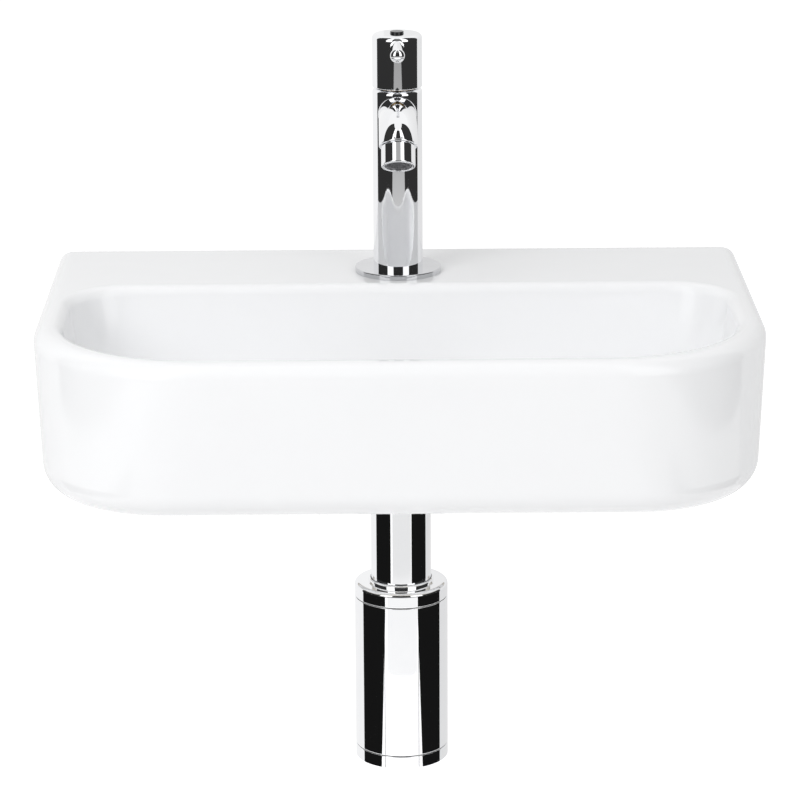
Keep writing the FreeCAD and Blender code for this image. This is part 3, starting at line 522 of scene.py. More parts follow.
def turned(name: str, corners: Sequence[Triple], start: Sequence[float],
           node: str, finish: Finish = CHROME, slot: Slot = Slot.CHROME,
           body: Body = Body.BASIN, axis: Sequence[float] = (0, 0, 1), segments: int = 144,
           closed: bool = True) -> Piece:
    """A turned piece: a section with rounded corners, carried round an axis.

    Args:
        name: name of the piece and of its mesh.
        corners: section as (radius, height, rounding).
        start: where height 0 lies on the axis.
        node: CAD node that it stands for.
        finish: its finish.
        slot: the record's slot, kept on the piece.
        body: the body it rides on.
        axis: direction of the axis.
        segments: parts round the circle.
        closed: the section is a closed loop; otherwise both its ends are on the axis.

    Returns:
        The piece.
    """
    surface = revolve(rounded_profile(corners, closed), start, axis, segments, closed)
    return Piece(name, mesh_from(name, [surface]), finish, slot, body, (node,))


# ------------------------------------------------------------------ ceramic
@dataclass
class CeramicBody:
    """The glazed basin.

    Fields:
        width, depth, height: overall size.
        front_r: plan radius of the front corners.
        draft_deg: lean of the outer wall.
        rim: width of the rim with its roundings.
        crest: flat middle of the rim, as distances from the outline.
        outer_r, inner_r: roundings of the rim.
        foot_corner_r: plan radius of the front corners at the level of the foot.
        foot_r, sole: rounding of the foot and width of the flat sole.
        edge_r: rounding of the wall side edges.
        deck, deck_thick: depth and thickness of the tap deck.
        bowl, bowl_lean_deg, bowl_floor_r, bowl_back_r: shape of the bowl.
        dip, dip_r, recess_r, seat, hole_r: the floor round the waste.
        floor_under: depth of the pocket's roof, under the bowl.
        waste_y, tap_y, tap_hole_r: places of the two openings.
        stud_x, stud_hole_r, back_wall: the two wall holes and the wall they go through.
        pocket_inset, pocket_back, pocket_r: outline of the pocket under the bowl.
        hollow_half, hollow_front: half width and front of the deck's hollow, below and above.
        hollow_r, roof_r: its plan corners and the rounding of its roof.
        ease: small bevel of an edge.
        past: how far a cutting solid reaches past a face.
        counts: points on each run of the plan outline.
    """

    width: float = 379.96 * MM
    depth: float = 239.97 * MM
    height: float = 83 * MM
    front_r: float = 88 * MM
    draft_deg: float = 3.6
    rim: float = 14.4 * MM
    crest: tuple[float, float] = (8.3 * MM, 8.8 * MM)
    outer_r: float = 8 * MM
    inner_r: float = 6 * MM
    foot_corner_r: float = 66 * MM
    foot_r: float = 15 * MM
    sole: float = 32 * MM
    edge_r: float = 2 * MM
    deck: float = 82 * MM
    deck_thick: float = 12 * MM
    bowl: float = 60 * MM
    bowl_lean_deg: float = 8.5
    bowl_floor_r: float = 16 * MM
    bowl_back_r: float = 30 * MM
    dip: float = 1.5 * MM
    dip_r: float = 36.5 * MM
    recess_r: float = 32.3 * MM
    seat: float = 63.5 * MM
    hole_r: float = 22.5 * MM
    floor_under: float = 74 * MM
    waste_y: float = -142 * MM
    tap_y: float = -50 * MM
    tap_hole_r: float = 17.5 * MM
    stud_x: float = 70 * MM
    stud_hole_r: float = 7 * MM
    back_wall: float = 12 * MM
    pocket_inset: float = 44 * MM
    pocket_back: float = -37 * MM
    pocket_r: float = 12 * MM
    hollow_half: tuple[float, float] = (152 * MM, 170 * MM)
    hollow_front: tuple[float, float] = (-80.5 * MM, -73.5 * MM)
    hollow_r: float = 10 * MM
    roof_r: float = 3 * MM
    ease: float = 0.5 * MM
    past: float = 1 * MM
    counts: tuple[int, ...] = (24, 44, 16, 18, 64, 18, 16, 44, 24)

    def outline(self, half: float, front: float, back: float, front_r: float,
                back_r: float) -> np.ndarray:
        """Plan outline with a fixed number of points, from the middle of the front.

        Formula: straight runs joined by quarter circles; a run is a + (b - a) t and a quarter
        circle is its centre plus r (cos, sin) of an even turn.

        Args:
            half: half width.
            front: y of the front run.
            back: y of the back run.
            front_r: radius of the front corners.
            back_r: radius of the back corners.

        Returns:
            Array (n, 2).
        """
        def run(a: tuple[float, float], b: tuple[float, float], count: int) -> np.ndarray:
            """Even points from a up to, not including, b."""
            t = np.arange(count)[:, None] / count
            return np.array(a) + (np.array(b) - np.array(a)) * t

        def turn(centre: tuple[float, float], r: float, start: float, count: int) -> np.ndarray:
            """Quarter circle from the angle start."""
            a = math.radians(start) + np.arange(count) / count * np.pi / 2
            return np.array(centre) + r * np.stack([np.cos(a), np.sin(a)], axis=-1)

        near, far = front + front_r, back - back_r
        wide_f, wide_b = half - front_r, half - back_r
        n = self.counts
        return np.vstack([
            run((0, front), (wide_f, front), n[0]),
            turn((wide_f, near), front_r, -90, n[1]),
            run((half, near), (half, far), n[2]),
            turn((wide_b, far), back_r, 0, n[3]),
            run((wide_b, back), (-wide_b, back), n[4]),
            turn((-wide_b, far), back_r, 90, n[5]),
            run((-half, far), (-half, near), n[6]),
            turn((-wide_f, near), front_r, 180, n[7]),
            run((-wide_f, front), (0, front), n[8]),
        ])

    def ring(self, plan: np.ndarray, up: float) -> np.ndarray:
        """Plan points, an array (n, 2), at one height above the rim, as an array (n, 3)."""
        return np.column_stack([plan, np.full(len(plan), RIM_Z + up)])

    def bowl_rings(self) -> list[np.ndarray]:
        """Rings of the bowl from its floor up to the flat rim.

        Formula: the section (inset, up) is a rounded polyline of floor, leaning wall and rim; at
        each of its points the plan outline is inset by the same distance all round.

        Returns:
            The rings, lowest first.
        """
        lean = self.bowl * math.tan(math.radians(self.bowl_lean_deg))
        foot = lean + self.bowl_floor_r
        section = rounded_profile([
            (foot, -self.bowl, 0), (lean, -self.bowl, self.bowl_floor_r),
            (0, 0, self.inner_r), (self.crest[1] - self.rim, 0, 0)], closed=False, steps=12)
        rings = []
        for inset, up in section:
            back_r = self.bowl_back_r - max(inset - lean, min(inset, 0.0))
            edge = self.rim + inset
            plan = self.outline(self.width / 2 - edge, edge - self.depth, -self.deck - inset,
                                self.front_r - edge, back_r)
            rings.append(self.ring(plan, up))
        return rings

    def outer_rings(self) -> list[np.ndarray]:
        """Rings of the outside from the flat rim down to the sole.

        Formula: a rounded polyline of rim, leaning wall and sole gives (inset, up). With the
        share k = -up / height, the leaning wall stands at w = top + k (low - top), and its plan
        corners have the radius (1 - k) r_rim + k r_foot. A ring that lies further in than w is
        offset from it all round. The back of every ring is on the wall face, eased at the top and
        the bottom by a small quarter circle.

        Returns:
            The rings, highest first.
        """
        draft = math.radians(self.draft_deg)
        top = -self.outer_r * (math.tan(draft) + 1 / math.cos(draft) - 1)
        low = top + self.height * math.tan(draft)
        section = rounded_profile([
            (self.crest[0], 0, 0), (top, 0, self.outer_r), (low, -self.height, self.foot_r),
            (low + self.sole, -self.height, 0)], closed=False, steps=14)
        rings = []
        for inset, up in section:
            share = -up / self.height
            corner = (1 - share) * (self.front_r - top) + share * self.foot_corner_r
            corner -= inset - (top + share * (low - top))
            depth_in = max(self.edge_r + up, self.edge_r - self.height - up, 0.0)
            back = math.sqrt(max(self.edge_r ** 2 - depth_in ** 2, 0.0)) - self.edge_r
            plan = self.outline(self.width / 2 - inset, inset - self.depth, back, corner,
                                self.edge_r)
            rings.append(self.ring(plan, up))
        return rings

    def circle(self, plan: np.ndarray, radius: float, up: float) -> np.ndarray:
        """Circle round the waste with the columns of an outline.

        Formula: centre plus radius times the unit direction to each outline point.

        Args:
            plan: ring whose columns are followed.
            radius: of the circle.
            up: height above the rim.

        Returns:
            Array (n, 3).
        """
        centre = np.array([0.0, self.waste_y])
        away = plan[:, :2] - centre
        away /= np.linalg.norm(away, axis=1)[:, None]
        return self.ring(centre + radius * away, up)

    def solid(self) -> bpy.types.Mesh:
        """Closed body with its bowl and waste hole, before the hollows below are cut."""
        bowl, outside = self.bowl_rings(), self.outer_rings()
        floor = bowl[0]
        hole, recess, ease = self.hole_r, self.recess_r, self.ease
        well = [(hole, -self.height), (hole, -self.seat - ease), (hole + ease, -self.seat),
                (recess - ease, -self.seat), (recess, -self.seat + ease),
                (recess, -self.bowl - self.dip),
                (recess + 0.6 * MM, -self.bowl - 0.8 * self.dip),
                (self.dip_r, -self.bowl - 0.15 * MM), (self.dip_r + 1.2 * MM, -self.bowl)]
        rows = [self.circle(floor, radius, up) for radius, up in well]
        rows += self.between(rows[-1], floor, (0.1, 0.4, 0.75, 0.97))
        rows += bowl
        rows += self.between(bowl[-1], outside[0], (0.03, 0.25, 0.5, 0.75, 0.97))
        rows += outside
        rows += self.between(outside[-1], rows[0], (0.2, 0.5, 0.8))
        return mesh_from("basin_solid", [Surface(np.stack(rows), wrap_rows=True)])

    @staticmethod
    def between(first: np.ndarray, last: np.ndarray, parts: Sequence[float]) -> list[np.ndarray]:
        """Rings part of the way from one ring to another, point by point."""
        return [first + (last - first) * part for part in parts]

    def cutter(self, name: str, rings: list[np.ndarray]) -> bpy.types.Object:
        """Closed solid through rings from end to end, with flat ends, to cut with."""
        ends = [np.broadcast_to(ring.mean(axis=0), ring.shape) for ring in (rings[0], rings[-1])]
        surface = Surface(np.stack([ends[0], *rings, ends[1]]))
        return add_object(name, mesh_from(name, [surface]))

    def cutters(self) -> list[bpy.types.Object]:
        """Solids of the pocket under the bowl, the hollow under the deck and the drilled holes."""
        below = -self.height - self.past
        pocket = self.outline(self.width / 2 - self.pocket_inset, self.pocket_inset - self.depth,
                              self.pocket_back, self.front_r - self.pocket_inset, self.pocket_r)
        things = [self.cutter("pocket", [self.ring(pocket, below),
                                         self.ring(pocket, -self.floor_under)]),
                  self.cutter("hollow", self.hollow_rings(below))]
        tap_hole = ((0, self.tap_y, RIM_Z - self.deck_thick - self.past), (0, 0, 1),
                    self.tap_hole_r, self.deck_thick + 2 * self.past)
        stud_holes = [((x, self.past, 0), (0, -1, 0), self.stud_hole_r,
                       self.back_wall + 2 * self.past) for x in (-self.stud_x, self.stud_x)]
        for i, (start, axis, radius, length) in enumerate([tap_hole, *stud_holes]):
            section = np.array([(0, 0), (radius, 0), (radius, length), (0, length)])
            mesh = mesh_from(f"drill_{i}", [revolve(section, start, axis, 96, closed=False)])
            things.append(add_object(f"drill_{i}", mesh))
        return things

    def hollow_rings(self, below: float) -> list[np.ndarray]:
        """Rings of the hollow under the deck: it narrows downwards and its roof is rounded.

        Args:
            below: height of its lower end.

        Returns:
            The rings, lowest first.
        """
        span = -self.deck_thick - below
        section = [(below, 0.0)] + [(-self.deck_thick - self.roof_r * (1 - math.sin(a)),
                                     self.roof_r * (1 - math.cos(a)))
                                    for a in np.linspace(0, math.pi / 2, 7)]
        rings = []
        for up, inset in section:
            part = (up - below) / span
            half, front = (low + (high - low) * part
                           for low, high in (self.hollow_half, self.hollow_front))
            corner = self.hollow_r - inset
            plan = self.outline(half - inset, front + inset, -self.back_wall - inset, corner,
                                corner)
            rings.append(self.ring(plan, up))
        return rings

    def build(self) -> list[Piece]:
        """Cuts the hollows out of the solid."""
        work = add_object("basin_work", self.solid())
        tools = self.cutters()
        for tool in tools:
            cut = work.modifiers.new(tool.name, "BOOLEAN")
            cut.operation, cut.solver, cut.object = "DIFFERENCE", "EXACT", tool
        ready = work.evaluated_get(bpy.context.evaluated_depsgraph_get())
        mesh = bpy.data.meshes.new_from_object(ready)
        mesh.name = "glazed_basin"
        for thing in [work, *tools]:
            bpy.data.objects.remove(thing)
        clean(mesh, 32.0)
        return [Piece("glazed_basin", mesh, GLAZE, Slot.CERAMIC, replaces=("ceramic_basin",))]


# ------------------------------------------------------------------ tap
@dataclass
class PillarTap:
    """The tap on the deck: flange, pillar, spout, aerator, handle and pin.

    Fields:
        y: the pillar's axis.
        pillar_r: radius of pillar and handle.
        flange_r, flange_thick, flange_bore: ring on the deck.
        recess: inner and outer radius and depth of its recess for the seal.
        seam, gap, top: heights of the pillar's top, of the slit and of the handle's top.
        top_round: rounding of both upper edges.
        chamber_r, chamber_low, waterway_r, socket_r, socket_top: inside of the pillar.
        cup_r, cup_roof, boss_r, boss_low, spline_r, spline_top: inside of the handle.
        screw_r, well_r, well_low: hole of the handle's screw and the well above it.
        cap_r, cap_low, cap_up: plug on top.
        pin_r, pin_up, pin_length, pin_dome: lever pin and the height of its domed tip.
        pin_stud, pin_root: radius and start of the pin's stud, and where the pin's face starts.
        sunk: how far the roots of pin and spout lie under the pillar's face.
        spout_r, spout_bore, spout_up, spout_fillet: spout, its height and its root.
        spout_run, bend_r, bend_deg: its straight run and its bend.
        tip_r, tip_length, tip_bore, tip_thread_r, tip_thread: aerator housing and its thread.
        insert_r, insert_in: radius of the aerator's insert, and how far it lies inside.
    """

    y: float = -50 * MM
    pillar_r: float = 13.5 * MM
    flange_r: float = 23.5 * MM
    flange_thick: float = 3 * MM
    flange_bore: float = 10.68 * MM
    recess: Triple = (17.9 * MM, 22 * MM, 1.2 * MM)
    seam: float = 102.1 * MM
    gap: float = 0.5 * MM
    top: float = 131.5 * MM
    top_round: float = 2.4 * MM
    chamber_r: float = 10.42 * MM
    chamber_low: float = 68 * MM
    waterway_r: float = 6 * MM
    socket_r: float = 8.5 * MM
    socket_top: float = 17 * MM
    cup_r: float = 11.7 * MM
    cup_roof: float = 118.8 * MM
    boss_r: float = 6.5 * MM
    boss_low: float = 110 * MM
    spline_r: float = 3.75 * MM
    spline_top: float = 118.3 * MM
    screw_r: float = 2.1 * MM
    well_r: float = 3.7 * MM
    well_low: float = 124.5 * MM
    cap_r: float = 3.65 * MM
    cap_low: float = 127.5 * MM
    cap_up: float = 132.6 * MM
    pin_r: float = 3.9 * MM
    pin_up: float = 126 * MM
    pin_length: float = 25.5 * MM
    pin_dome: float = 2.7 * MM
    pin_stud: tuple[float, float] = (2.5 * MM, 6.5 * MM)
    pin_root: float = 11 * MM
    sunk: float = 0.3 * MM
    spout_r: float = 10.2 * MM
    spout_bore: float = 7.3 * MM
    spout_up: float = 88.8 * MM
    spout_fillet: float = 0.9 * MM
    spout_run: float = 24 * MM
    bend_r: float = 17 * MM
    bend_deg: float = 59.0
    tip_r: float = 9 * MM
    tip_length: float = 11.3 * MM
    tip_bore: float = 6.4 * MM
    tip_thread_r: float = 8 * MM
    tip_thread: float = 6.5 * MM
    insert_r: float = 7.2 * MM
    insert_in: float = 1.0 * MM

    @property
    def foot(self) -> Triple:
        """Where the tap's axis meets the plane of the rim."""
        return (0.0, self.y, RIM_Z)

    def flange(self) -> Piece:
        """Ring on the deck, with a recess for its seal."""
        inner, outer, deep = self.recess
        return turned("deck_flange", [
            (self.flange_r, 0, 0.2 * MM), (self.flange_r, self.flange_thick, 0.6 * MM),
            (self.flange_bore, self.flange_thick, 0), (self.flange_bore, 0, 0), (inner, 0, 0),
            (inner, deep, 0), (outer, deep, 0), (outer, 0, 0)],
            self.foot, "tap_flange", FLANGE_CHROME)

    def pillar(self) -> Piece:
        """Pillar with its waterway and the chamber for the headwork."""
        return turned("pillar", [
            (self.pillar_r, self.flange_thick, 0), (self.pillar_r, self.seam, self.top_round),
            (self.chamber_r, self.seam, 0), (self.chamber_r, self.chamber_low, 0),
            (self.waterway_r, self.chamber_low, 0), (self.waterway_r, self.socket_top, 0),
            (self.socket_r, self.socket_top, 0), (self.socket_r, self.flange_thick, 0)],
            self.foot, "tap_pillar", segments=192)

    def handle(self) -> Piece:
        """Cup over the headwork, with its boss and the well for the plug."""
        low = self.seam + self.gap
        return turned("turning_handle", [
            (self.pillar_r, low, 0.5 * MM), (self.pillar_r, self.top, self.top_round),
            (self.well_r, self.top, 0.25 * MM), (self.well_r, self.well_low, 0),
            (self.screw_r, self.well_low, 0), (self.screw_r, self.spline_top, 0),
            (self.spline_r, self.spline_top, 0), (self.spline_r, self.boss_low, 0),
            (self.boss_r, self.boss_low, 0), (self.boss_r, self.cup_roof, 0),
            (self.cup_r, self.cup_roof, 0), (self.cup_r, low, 0)],
            self.foot, "tap_handle", body=Body.HANDLE, segments=192)

    def plug(self) -> Piece:
        """Dark plug on top of the handle."""
        return turned("top_plug", [
            (0, self.cap_low, 0), (self.cap_r, self.cap_low, 0),
            (self.cap_r, self.cap_up, 0.35 * MM), (0, self.cap_up, 0)],
            self.foot, "handle_cap", PLUG_BLACK, Slot.CAP_PLASTIC, Body.HANDLE, segments=96,
            closed=False)

    def pin(self) -> Piece:
        """Round pin with a domed tip; its root follows the handle's side.

        Formula: a surface of revolution about a level axis. Its tip is half an ellipse, radius
        r cos t and travel d sin t. The root points are moved onto a cylinder just inside the
        handle's face, y = -sqrt(R^2 - x^2).

        Returns:
            The piece.
        """
        tip = self.pillar_r + self.pin_length
        t = np.linspace(0, np.pi / 2, 24)
        dome = np.stack([self.pin_r * np.cos(t), tip + self.pin_dome * (np.sin(t) - 1)], axis=-1)
        stud_r, stud_start = self.pin_stud
        stem = [(0, stud_start), (stud_r, stud_start), (stud_r, self.pin_root),
                (self.pin_r, self.pin_root)]
        section = np.vstack([stem, dome])
        axis_point = (0, self.y, RIM_Z + self.pin_up)
        surface = revolve(section, axis_point, (0, -1, 0), 96, closed=False)
        root = np.isclose(section[:, 1], self.pin_root)
        x = surface.points[root, :, 0]
        surface.points[root, :, 1] = self.y - np.sqrt((self.pillar_r - self.sunk) ** 2 - x ** 2)
        return Piece("lever_pin", mesh_from("lever_pin", [surface]), CHROME, Slot.CHROME,
                     Body.HANDLE, ("pin_lever",))

    def spout_frame(self, travel: np.ndarray) -> tuple[np.ndarray, np.ndarray]:
        """Middle line of the spout and its upward normal.

        Formula: up to the bend the line is straight along -Y; beyond it the angle is
        (travel - run) / bend radius, and the line is a circular arc that turns down.

        Args:
            travel: distances from the pillar's face along the line, in any shape.

        Returns:
            Points and normals, with the shape of travel and 3 coordinates.
        """
        angle = np.clip(travel - self.spout_run, 0, None) / self.bend_r
        angle = np.minimum(angle, math.radians(self.bend_deg))
        straight = np.minimum(travel, self.spout_run)
        past = np.clip(travel - self.bend_end, 0, None)
        forward = straight + self.bend_r * np.sin(angle) + past * np.cos(angle)
        drop = self.bend_r * (1 - np.cos(angle)) + past * np.sin(angle)
        zero = np.zeros_like(travel)
        points = np.stack([zero, self.y - self.pillar_r - forward,
                           RIM_Z + self.spout_up - drop], axis=-1)
        normals = np.stack([zero, -np.sin(angle), np.cos(angle)], axis=-1)
        return points, normals

    @property
    def bend_end(self) -> float:
        """Travel at which the bend ends, at the spout's end face."""
        return self.spout_run + self.bend_r * math.radians(self.bend_deg)

    def spout(self) -> Piece:
        """Bent tube, let into the pillar, with a small fillet at its root.

        Formula: each (radius, travel) of a closed section is carried round the bent middle line,
        point + radius (cos a * X + sin a * normal). Near the root the travel is drawn back by
        R - sqrt(R^2 - x^2), which fades out over `lead`, so that the edge lies on the pillar, and
        the radius grows by f - sqrt(f^2 - (f - travel)^2) for a fillet f.

        Returns:
            The piece.
        """
        end, fillet, lead = self.bend_end, self.spout_fillet, 8 * MM
        base = np.concatenate([np.linspace(0, fillet, 9), np.linspace(fillet, lead, 9)[1:],
                               np.linspace(lead, end - 1 * MM, 60)[1:]])
        near = np.clip(fillet - base, 0, None)
        wall = np.stack([self.spout_r + fillet - np.sqrt(fillet ** 2 - near ** 2), base], axis=-1)
        edge = rounded_profile([(self.spout_r, 0, 0), (self.spout_r, end, 0.45 * MM),
                                (self.spout_bore, end, 0)], closed=False, steps=6)
        bore = np.stack([np.full_like(base, self.spout_bore), base[::-1]], axis=-1)
        radius, travel = np.vstack([wall, edge[1:], bore]).T[:, :, None]
        a = np.linspace(0, 2 * np.pi, 160, endpoint=False)[None]
        inside = self.pillar_r - self.sunk
        behind = self.pillar_r - np.sqrt(inside ** 2 - (radius * np.cos(a)) ** 2)
        travel = travel - behind * np.clip(1 - travel / lead, 0, 1)
        points, normals = self.spout_frame(travel)
        side = np.array([1.0, 0.0, 0.0])
        ring = np.cos(a)[..., None] * side + np.sin(a)[..., None] * normals
        grid = points + radius[..., None] * ring
        mesh = mesh_from("bent_spout", [Surface(grid, wrap_rows=True)])
        return Piece("bent_spout", mesh, CHROME, Slot.CHROME, replaces=("tap_spout",))

    def outlet(self) -> tuple[tuple[float, ...], tuple[float, ...]]:
        """Middle of the spout's end face and the direction it points."""
        point, _ = self.spout_frame(np.array([self.bend_end]))
        turn = math.radians(self.bend_deg)
        return tuple(point[0]), (0.0, -math.cos(turn), -math.sin(turn))

    def aerator(self) -> list[Piece]:
        """Housing, and the insert with its woven mesh."""
        point, axis = self.outlet()
        end, start, seat = self.tip_length, 0.25 * MM, 2 * MM
        socket_r = self.insert_r + 0.05 * MM
        ring = turned("aerator_ring", [
            (self.tip_r, start, EDGE), (self.tip_r, end, 0.7 * MM),
            (socket_r, end, 0.4 * MM), (socket_r, seat, 0), (self.tip_bore, seat, 0),
            (self.tip_bore, -self.tip_thread, 0), (self.tip_thread_r, -self.tip_thread, 0),
            (self.tip_thread_r, start, 0)], point, "aerator_housing", axis=axis)
        return [ring, Piece("aerator_mesh", self.insert(point, axis), MESH_GREY,
                            Slot.MESH_PLASTIC, replaces=("aerator_insert",))]

    def insert(self, point: Sequence[float], axis: Sequence[float]) -> bpy.types.Mesh:
        """Ring, backing plate and woven wires of the aerator.

        Formula: wire i runs along one direction at its own offset, for the chord's length, and
        its height is a cosine of its place with one half wave per crossing, turned over on every
        other wire. A round section is carried along it.

        Args:
            point: middle of the spout's end face.
            axis: direction of flow.

        Returns:
            The mesh.
        """
        outer = self.tip_length - self.insert_in
        low, bore = outer - 6 * MM, 6.0 * MM
        ring = rounded_profile([
            (self.insert_r, low, 0), (self.insert_r, outer, 0.2 * MM), (6.3 * MM, outer, EDGE),
            (bore, outer - 1.2 * MM, 0), (bore, low, 0)])
        plate_r, plate_top, plate_low = 6.05 * MM, outer - 2.6 * MM, outer - 3.2 * MM
        plate = np.array([(0, plate_top), (plate_r, plate_top), (plate_r, plate_low),
                          (0, plate_low)])
        parts = [revolve(ring, point, axis, 96),
                 revolve(plate, point, axis, 96, closed=False)]
        flow = Vector(axis).normalized()
        across = Vector((1, 0, 0))
        over = flow.cross(across)
        pitch, wire_r, reach = 0.86 * MM, 0.17 * MM, 6.25 * MM
        offsets = pitch * np.arange(-7, 8)
        sides = np.linspace(0, 2 * np.pi, 6, endpoint=False)
        s = np.linspace(-1, 1, 90)
        for turned in (False, True):
            run, lift = (np.array(over), np.array(across)) if turned else (
                np.array(across), np.array(over))
            half = np.sqrt(np.clip(reach ** 2 - offsets ** 2, 0, None))
            for i, (offset, length) in enumerate(zip(offsets, half)):
                place = s * length
                wave = wire_r * np.cos(np.pi * place / pitch + np.pi * (i + turned))
                middle = (np.array(point) + np.array(flow) * (outer - 0.6 * MM)
                          + place[:, None] * run + offset * lift + wave[:, None] * np.array(flow))
                tube = (middle[:, None] + wire_r * np.cos(sides)[None, :, None] * lift
                        + wire_r * np.sin(sides)[None, :, None] * np.array(flow))
                caps = [middle[:1, None] + 0 * tube[:1], middle[-1:, None] + 0 * tube[-1:]]
                parts.append(Surface(np.concatenate([caps[0], tube, caps[1]])))
        return mesh_from("aerator_mesh", parts, 60.0)

    def build(self) -> list[Piece]:
        """The outer pieces of the tap."""
        return [self.flange(), self.pillar(), self.spout(), *self.aerator(), self.handle(),
                self.plug(), self.pin()]


# ------------------------------------------------------------------ waste and trap
@dataclass
class WasteAndTrap:
    """Flange in the bowl, tube and bottle trap.

    Fields:
        y: the common axis.
        flange_r, flange_low, flange_top: ring in the bowl.
        grid_r, grid_seat: step that takes the grid.
        tail_r, bore_r, tail_end: screwed tail.
        tube_r, tube_wall, tube_top, tube_end: straight tube.
        clear_r: bore of lid, nuts and boss round a tube.
        nut_r, nut_low, nut_high, nut_bore, lip: coupling nut, and the lip of both nuts.
        cup_r, cup_top, cap, foot_low, foot, groove: the trap's cup with lid and foot.
        bore, play, wide_r, band, spigot: screwed ends of the cup, and what goes into them.
        foot_bore, foot_floor: inside of the foot.
        collar, collar_r, seal_r, seal_deep: collar of the lid and the seal's place under it.
        outlet_up, boss_r, boss_start, boss_length: outlet.
        outer_nut_r, outer_nut_bore, outer_nut_grip, outer_nut_past: its coupling nut.
        pipe_start, pipe_end, bead_r, bead: pipe into the wall and its stop bead at the wall.
    """

    y: float = -142 * MM
    flange_r: float = 31.5 * MM
    flange_low: float = -62.5 * MM
    flange_top: float = -60.5 * MM
    grid_r: float = 20.1 * MM
    grid_seat: float = 0.3 * MM
    tail_r: float = 20.9 * MM
    bore_r: float = 17.6 * MM
    tail_end: float = -94 * MM
    tube_r: float = 16 * MM
    tube_wall: float = 1 * MM
    tube_top: float = -86 * MM
    tube_end: float = -220 * MM
    clear_r: float = 16.1 * MM
    nut_r: float = 25 * MM
    nut_low: float = -99 * MM
    nut_high: float = -87.6 * MM
    nut_bore: float = 20.95 * MM
    lip: float = 2 * MM
    cup_r: float = 24.85 * MM
    cup_top: float = -146.7 * MM
    cap: float = 7.8 * MM
    foot_low: float = -247.6 * MM
    foot: float = 8.65 * MM
    groove: float = 0.4 * MM
    bore: float = 22.85 * MM
    play: float = 0.05 * MM
    wide_r: float = 23.4 * MM
    band: float = 9 * MM
    spigot: float = 7.5 * MM
    foot_bore: float = 20.5 * MM
    foot_floor: float = 3 * MM
    collar: float = 1.8 * MM
    collar_r: float = 17.4 * MM
    seal_r: float = 16.8 * MM
    seal_deep: float = 1.2 * MM
    outlet_up: float = -185 * MM
    boss_r: float = 19.5 * MM
    boss_start: float = 24 * MM
    boss_length: float = 13 * MM
    outer_nut_r: float = 22 * MM
    outer_nut_bore: float = 19.55 * MM
    outer_nut_grip: float = 11 * MM
    outer_nut_past: float = 6 * MM
    pipe_start: float = 23.9 * MM
    pipe_end: float = 40 * MM
    bead_r: float = 16.25 * MM
    bead: float = 3 * MM

    def on_axis(self, name: str, corners: Sequence[Triple], node: str,
                segments: int = 160, closed: bool = True) -> Piece:
        """A turned chrome piece on the common axis, with heights above the rim.

        Args:
            name: name of the piece.
            corners: section as (radius, height, rounding).
            node: CAD node that it stands for.
            segments: parts round the circle.
            closed: the section is a closed loop.

        Returns:
            The piece.
        """
        return turned(name, corners, (0, self.y, RIM_Z), node, segments=segments, closed=closed)

    def waste(self) -> Piece:
        """Flanged tube through the bowl's floor, with the step that takes the grid."""
        step = self.flange_low + self.grid_seat
        return self.on_axis("waste_flange", [
            (self.flange_r, self.flange_low, 0.2 * MM), (self.flange_r, self.flange_top, 1.3 * MM),
            (self.grid_r, self.flange_top, EDGE), (self.grid_r, step, 0),
            (self.bore_r, step, 0), (self.bore_r, self.tail_end, 0),
            (self.tail_r, self.tail_end, EDGE), (self.tail_r, self.flange_low, 0)],
            "waste_body")

    def tube(self) -> Piece:
        """Straight tube from the waste into the trap."""
        inner = self.tube_r - self.tube_wall
        return self.on_axis("drop_tube", [
            (self.tube_r, self.tube_end, EDGE), (self.tube_r, self.tube_top, EDGE),
            (inner, self.tube_top, 0), (inner, self.tube_end, 0)], "inlet_tube", 192)

    def nut(self) -> Piece:
        """Coupling nut under the basin."""
        step = self.nut_low + self.lip
        return self.on_axis("drop_nut", [
            (self.nut_r, self.nut_low, 0.8 * MM), (self.nut_r, self.nut_high, 0.6 * MM),
            (self.nut_bore, self.nut_high, 0), (self.nut_bore, step, 0), (self.clear_r, step, 0),
            (self.clear_r, self.nut_low, 0)], "inlet_nut")

    def lid(self) -> Piece:
        """Screwed lid of the trap, with a rounded collar round the tube."""
        low, top = self.cup_top - self.cap, self.cup_top
        spigot_r, seat, end = self.bore - self.play, top - self.seal_deep, low - self.spigot
        return self.on_axis("trap_lid", [
            (self.cup_r, low, EDGE), (self.cup_r, top, 2.0 * MM), (self.collar_r, top, 0),
            (self.collar_r, top + self.collar, 1.1 * MM),
            (self.clear_r, top + self.collar, 0.15 * MM), (self.clear_r, top, 0),
            (self.seal_r, top, 0), (self.seal_r, seat, 0), (self.clear_r, seat, 0),
            (self.clear_r, end, 0), (spigot_r, end, EDGE), (spigot_r, low, 0)],
            "trap_top_cap", 192)

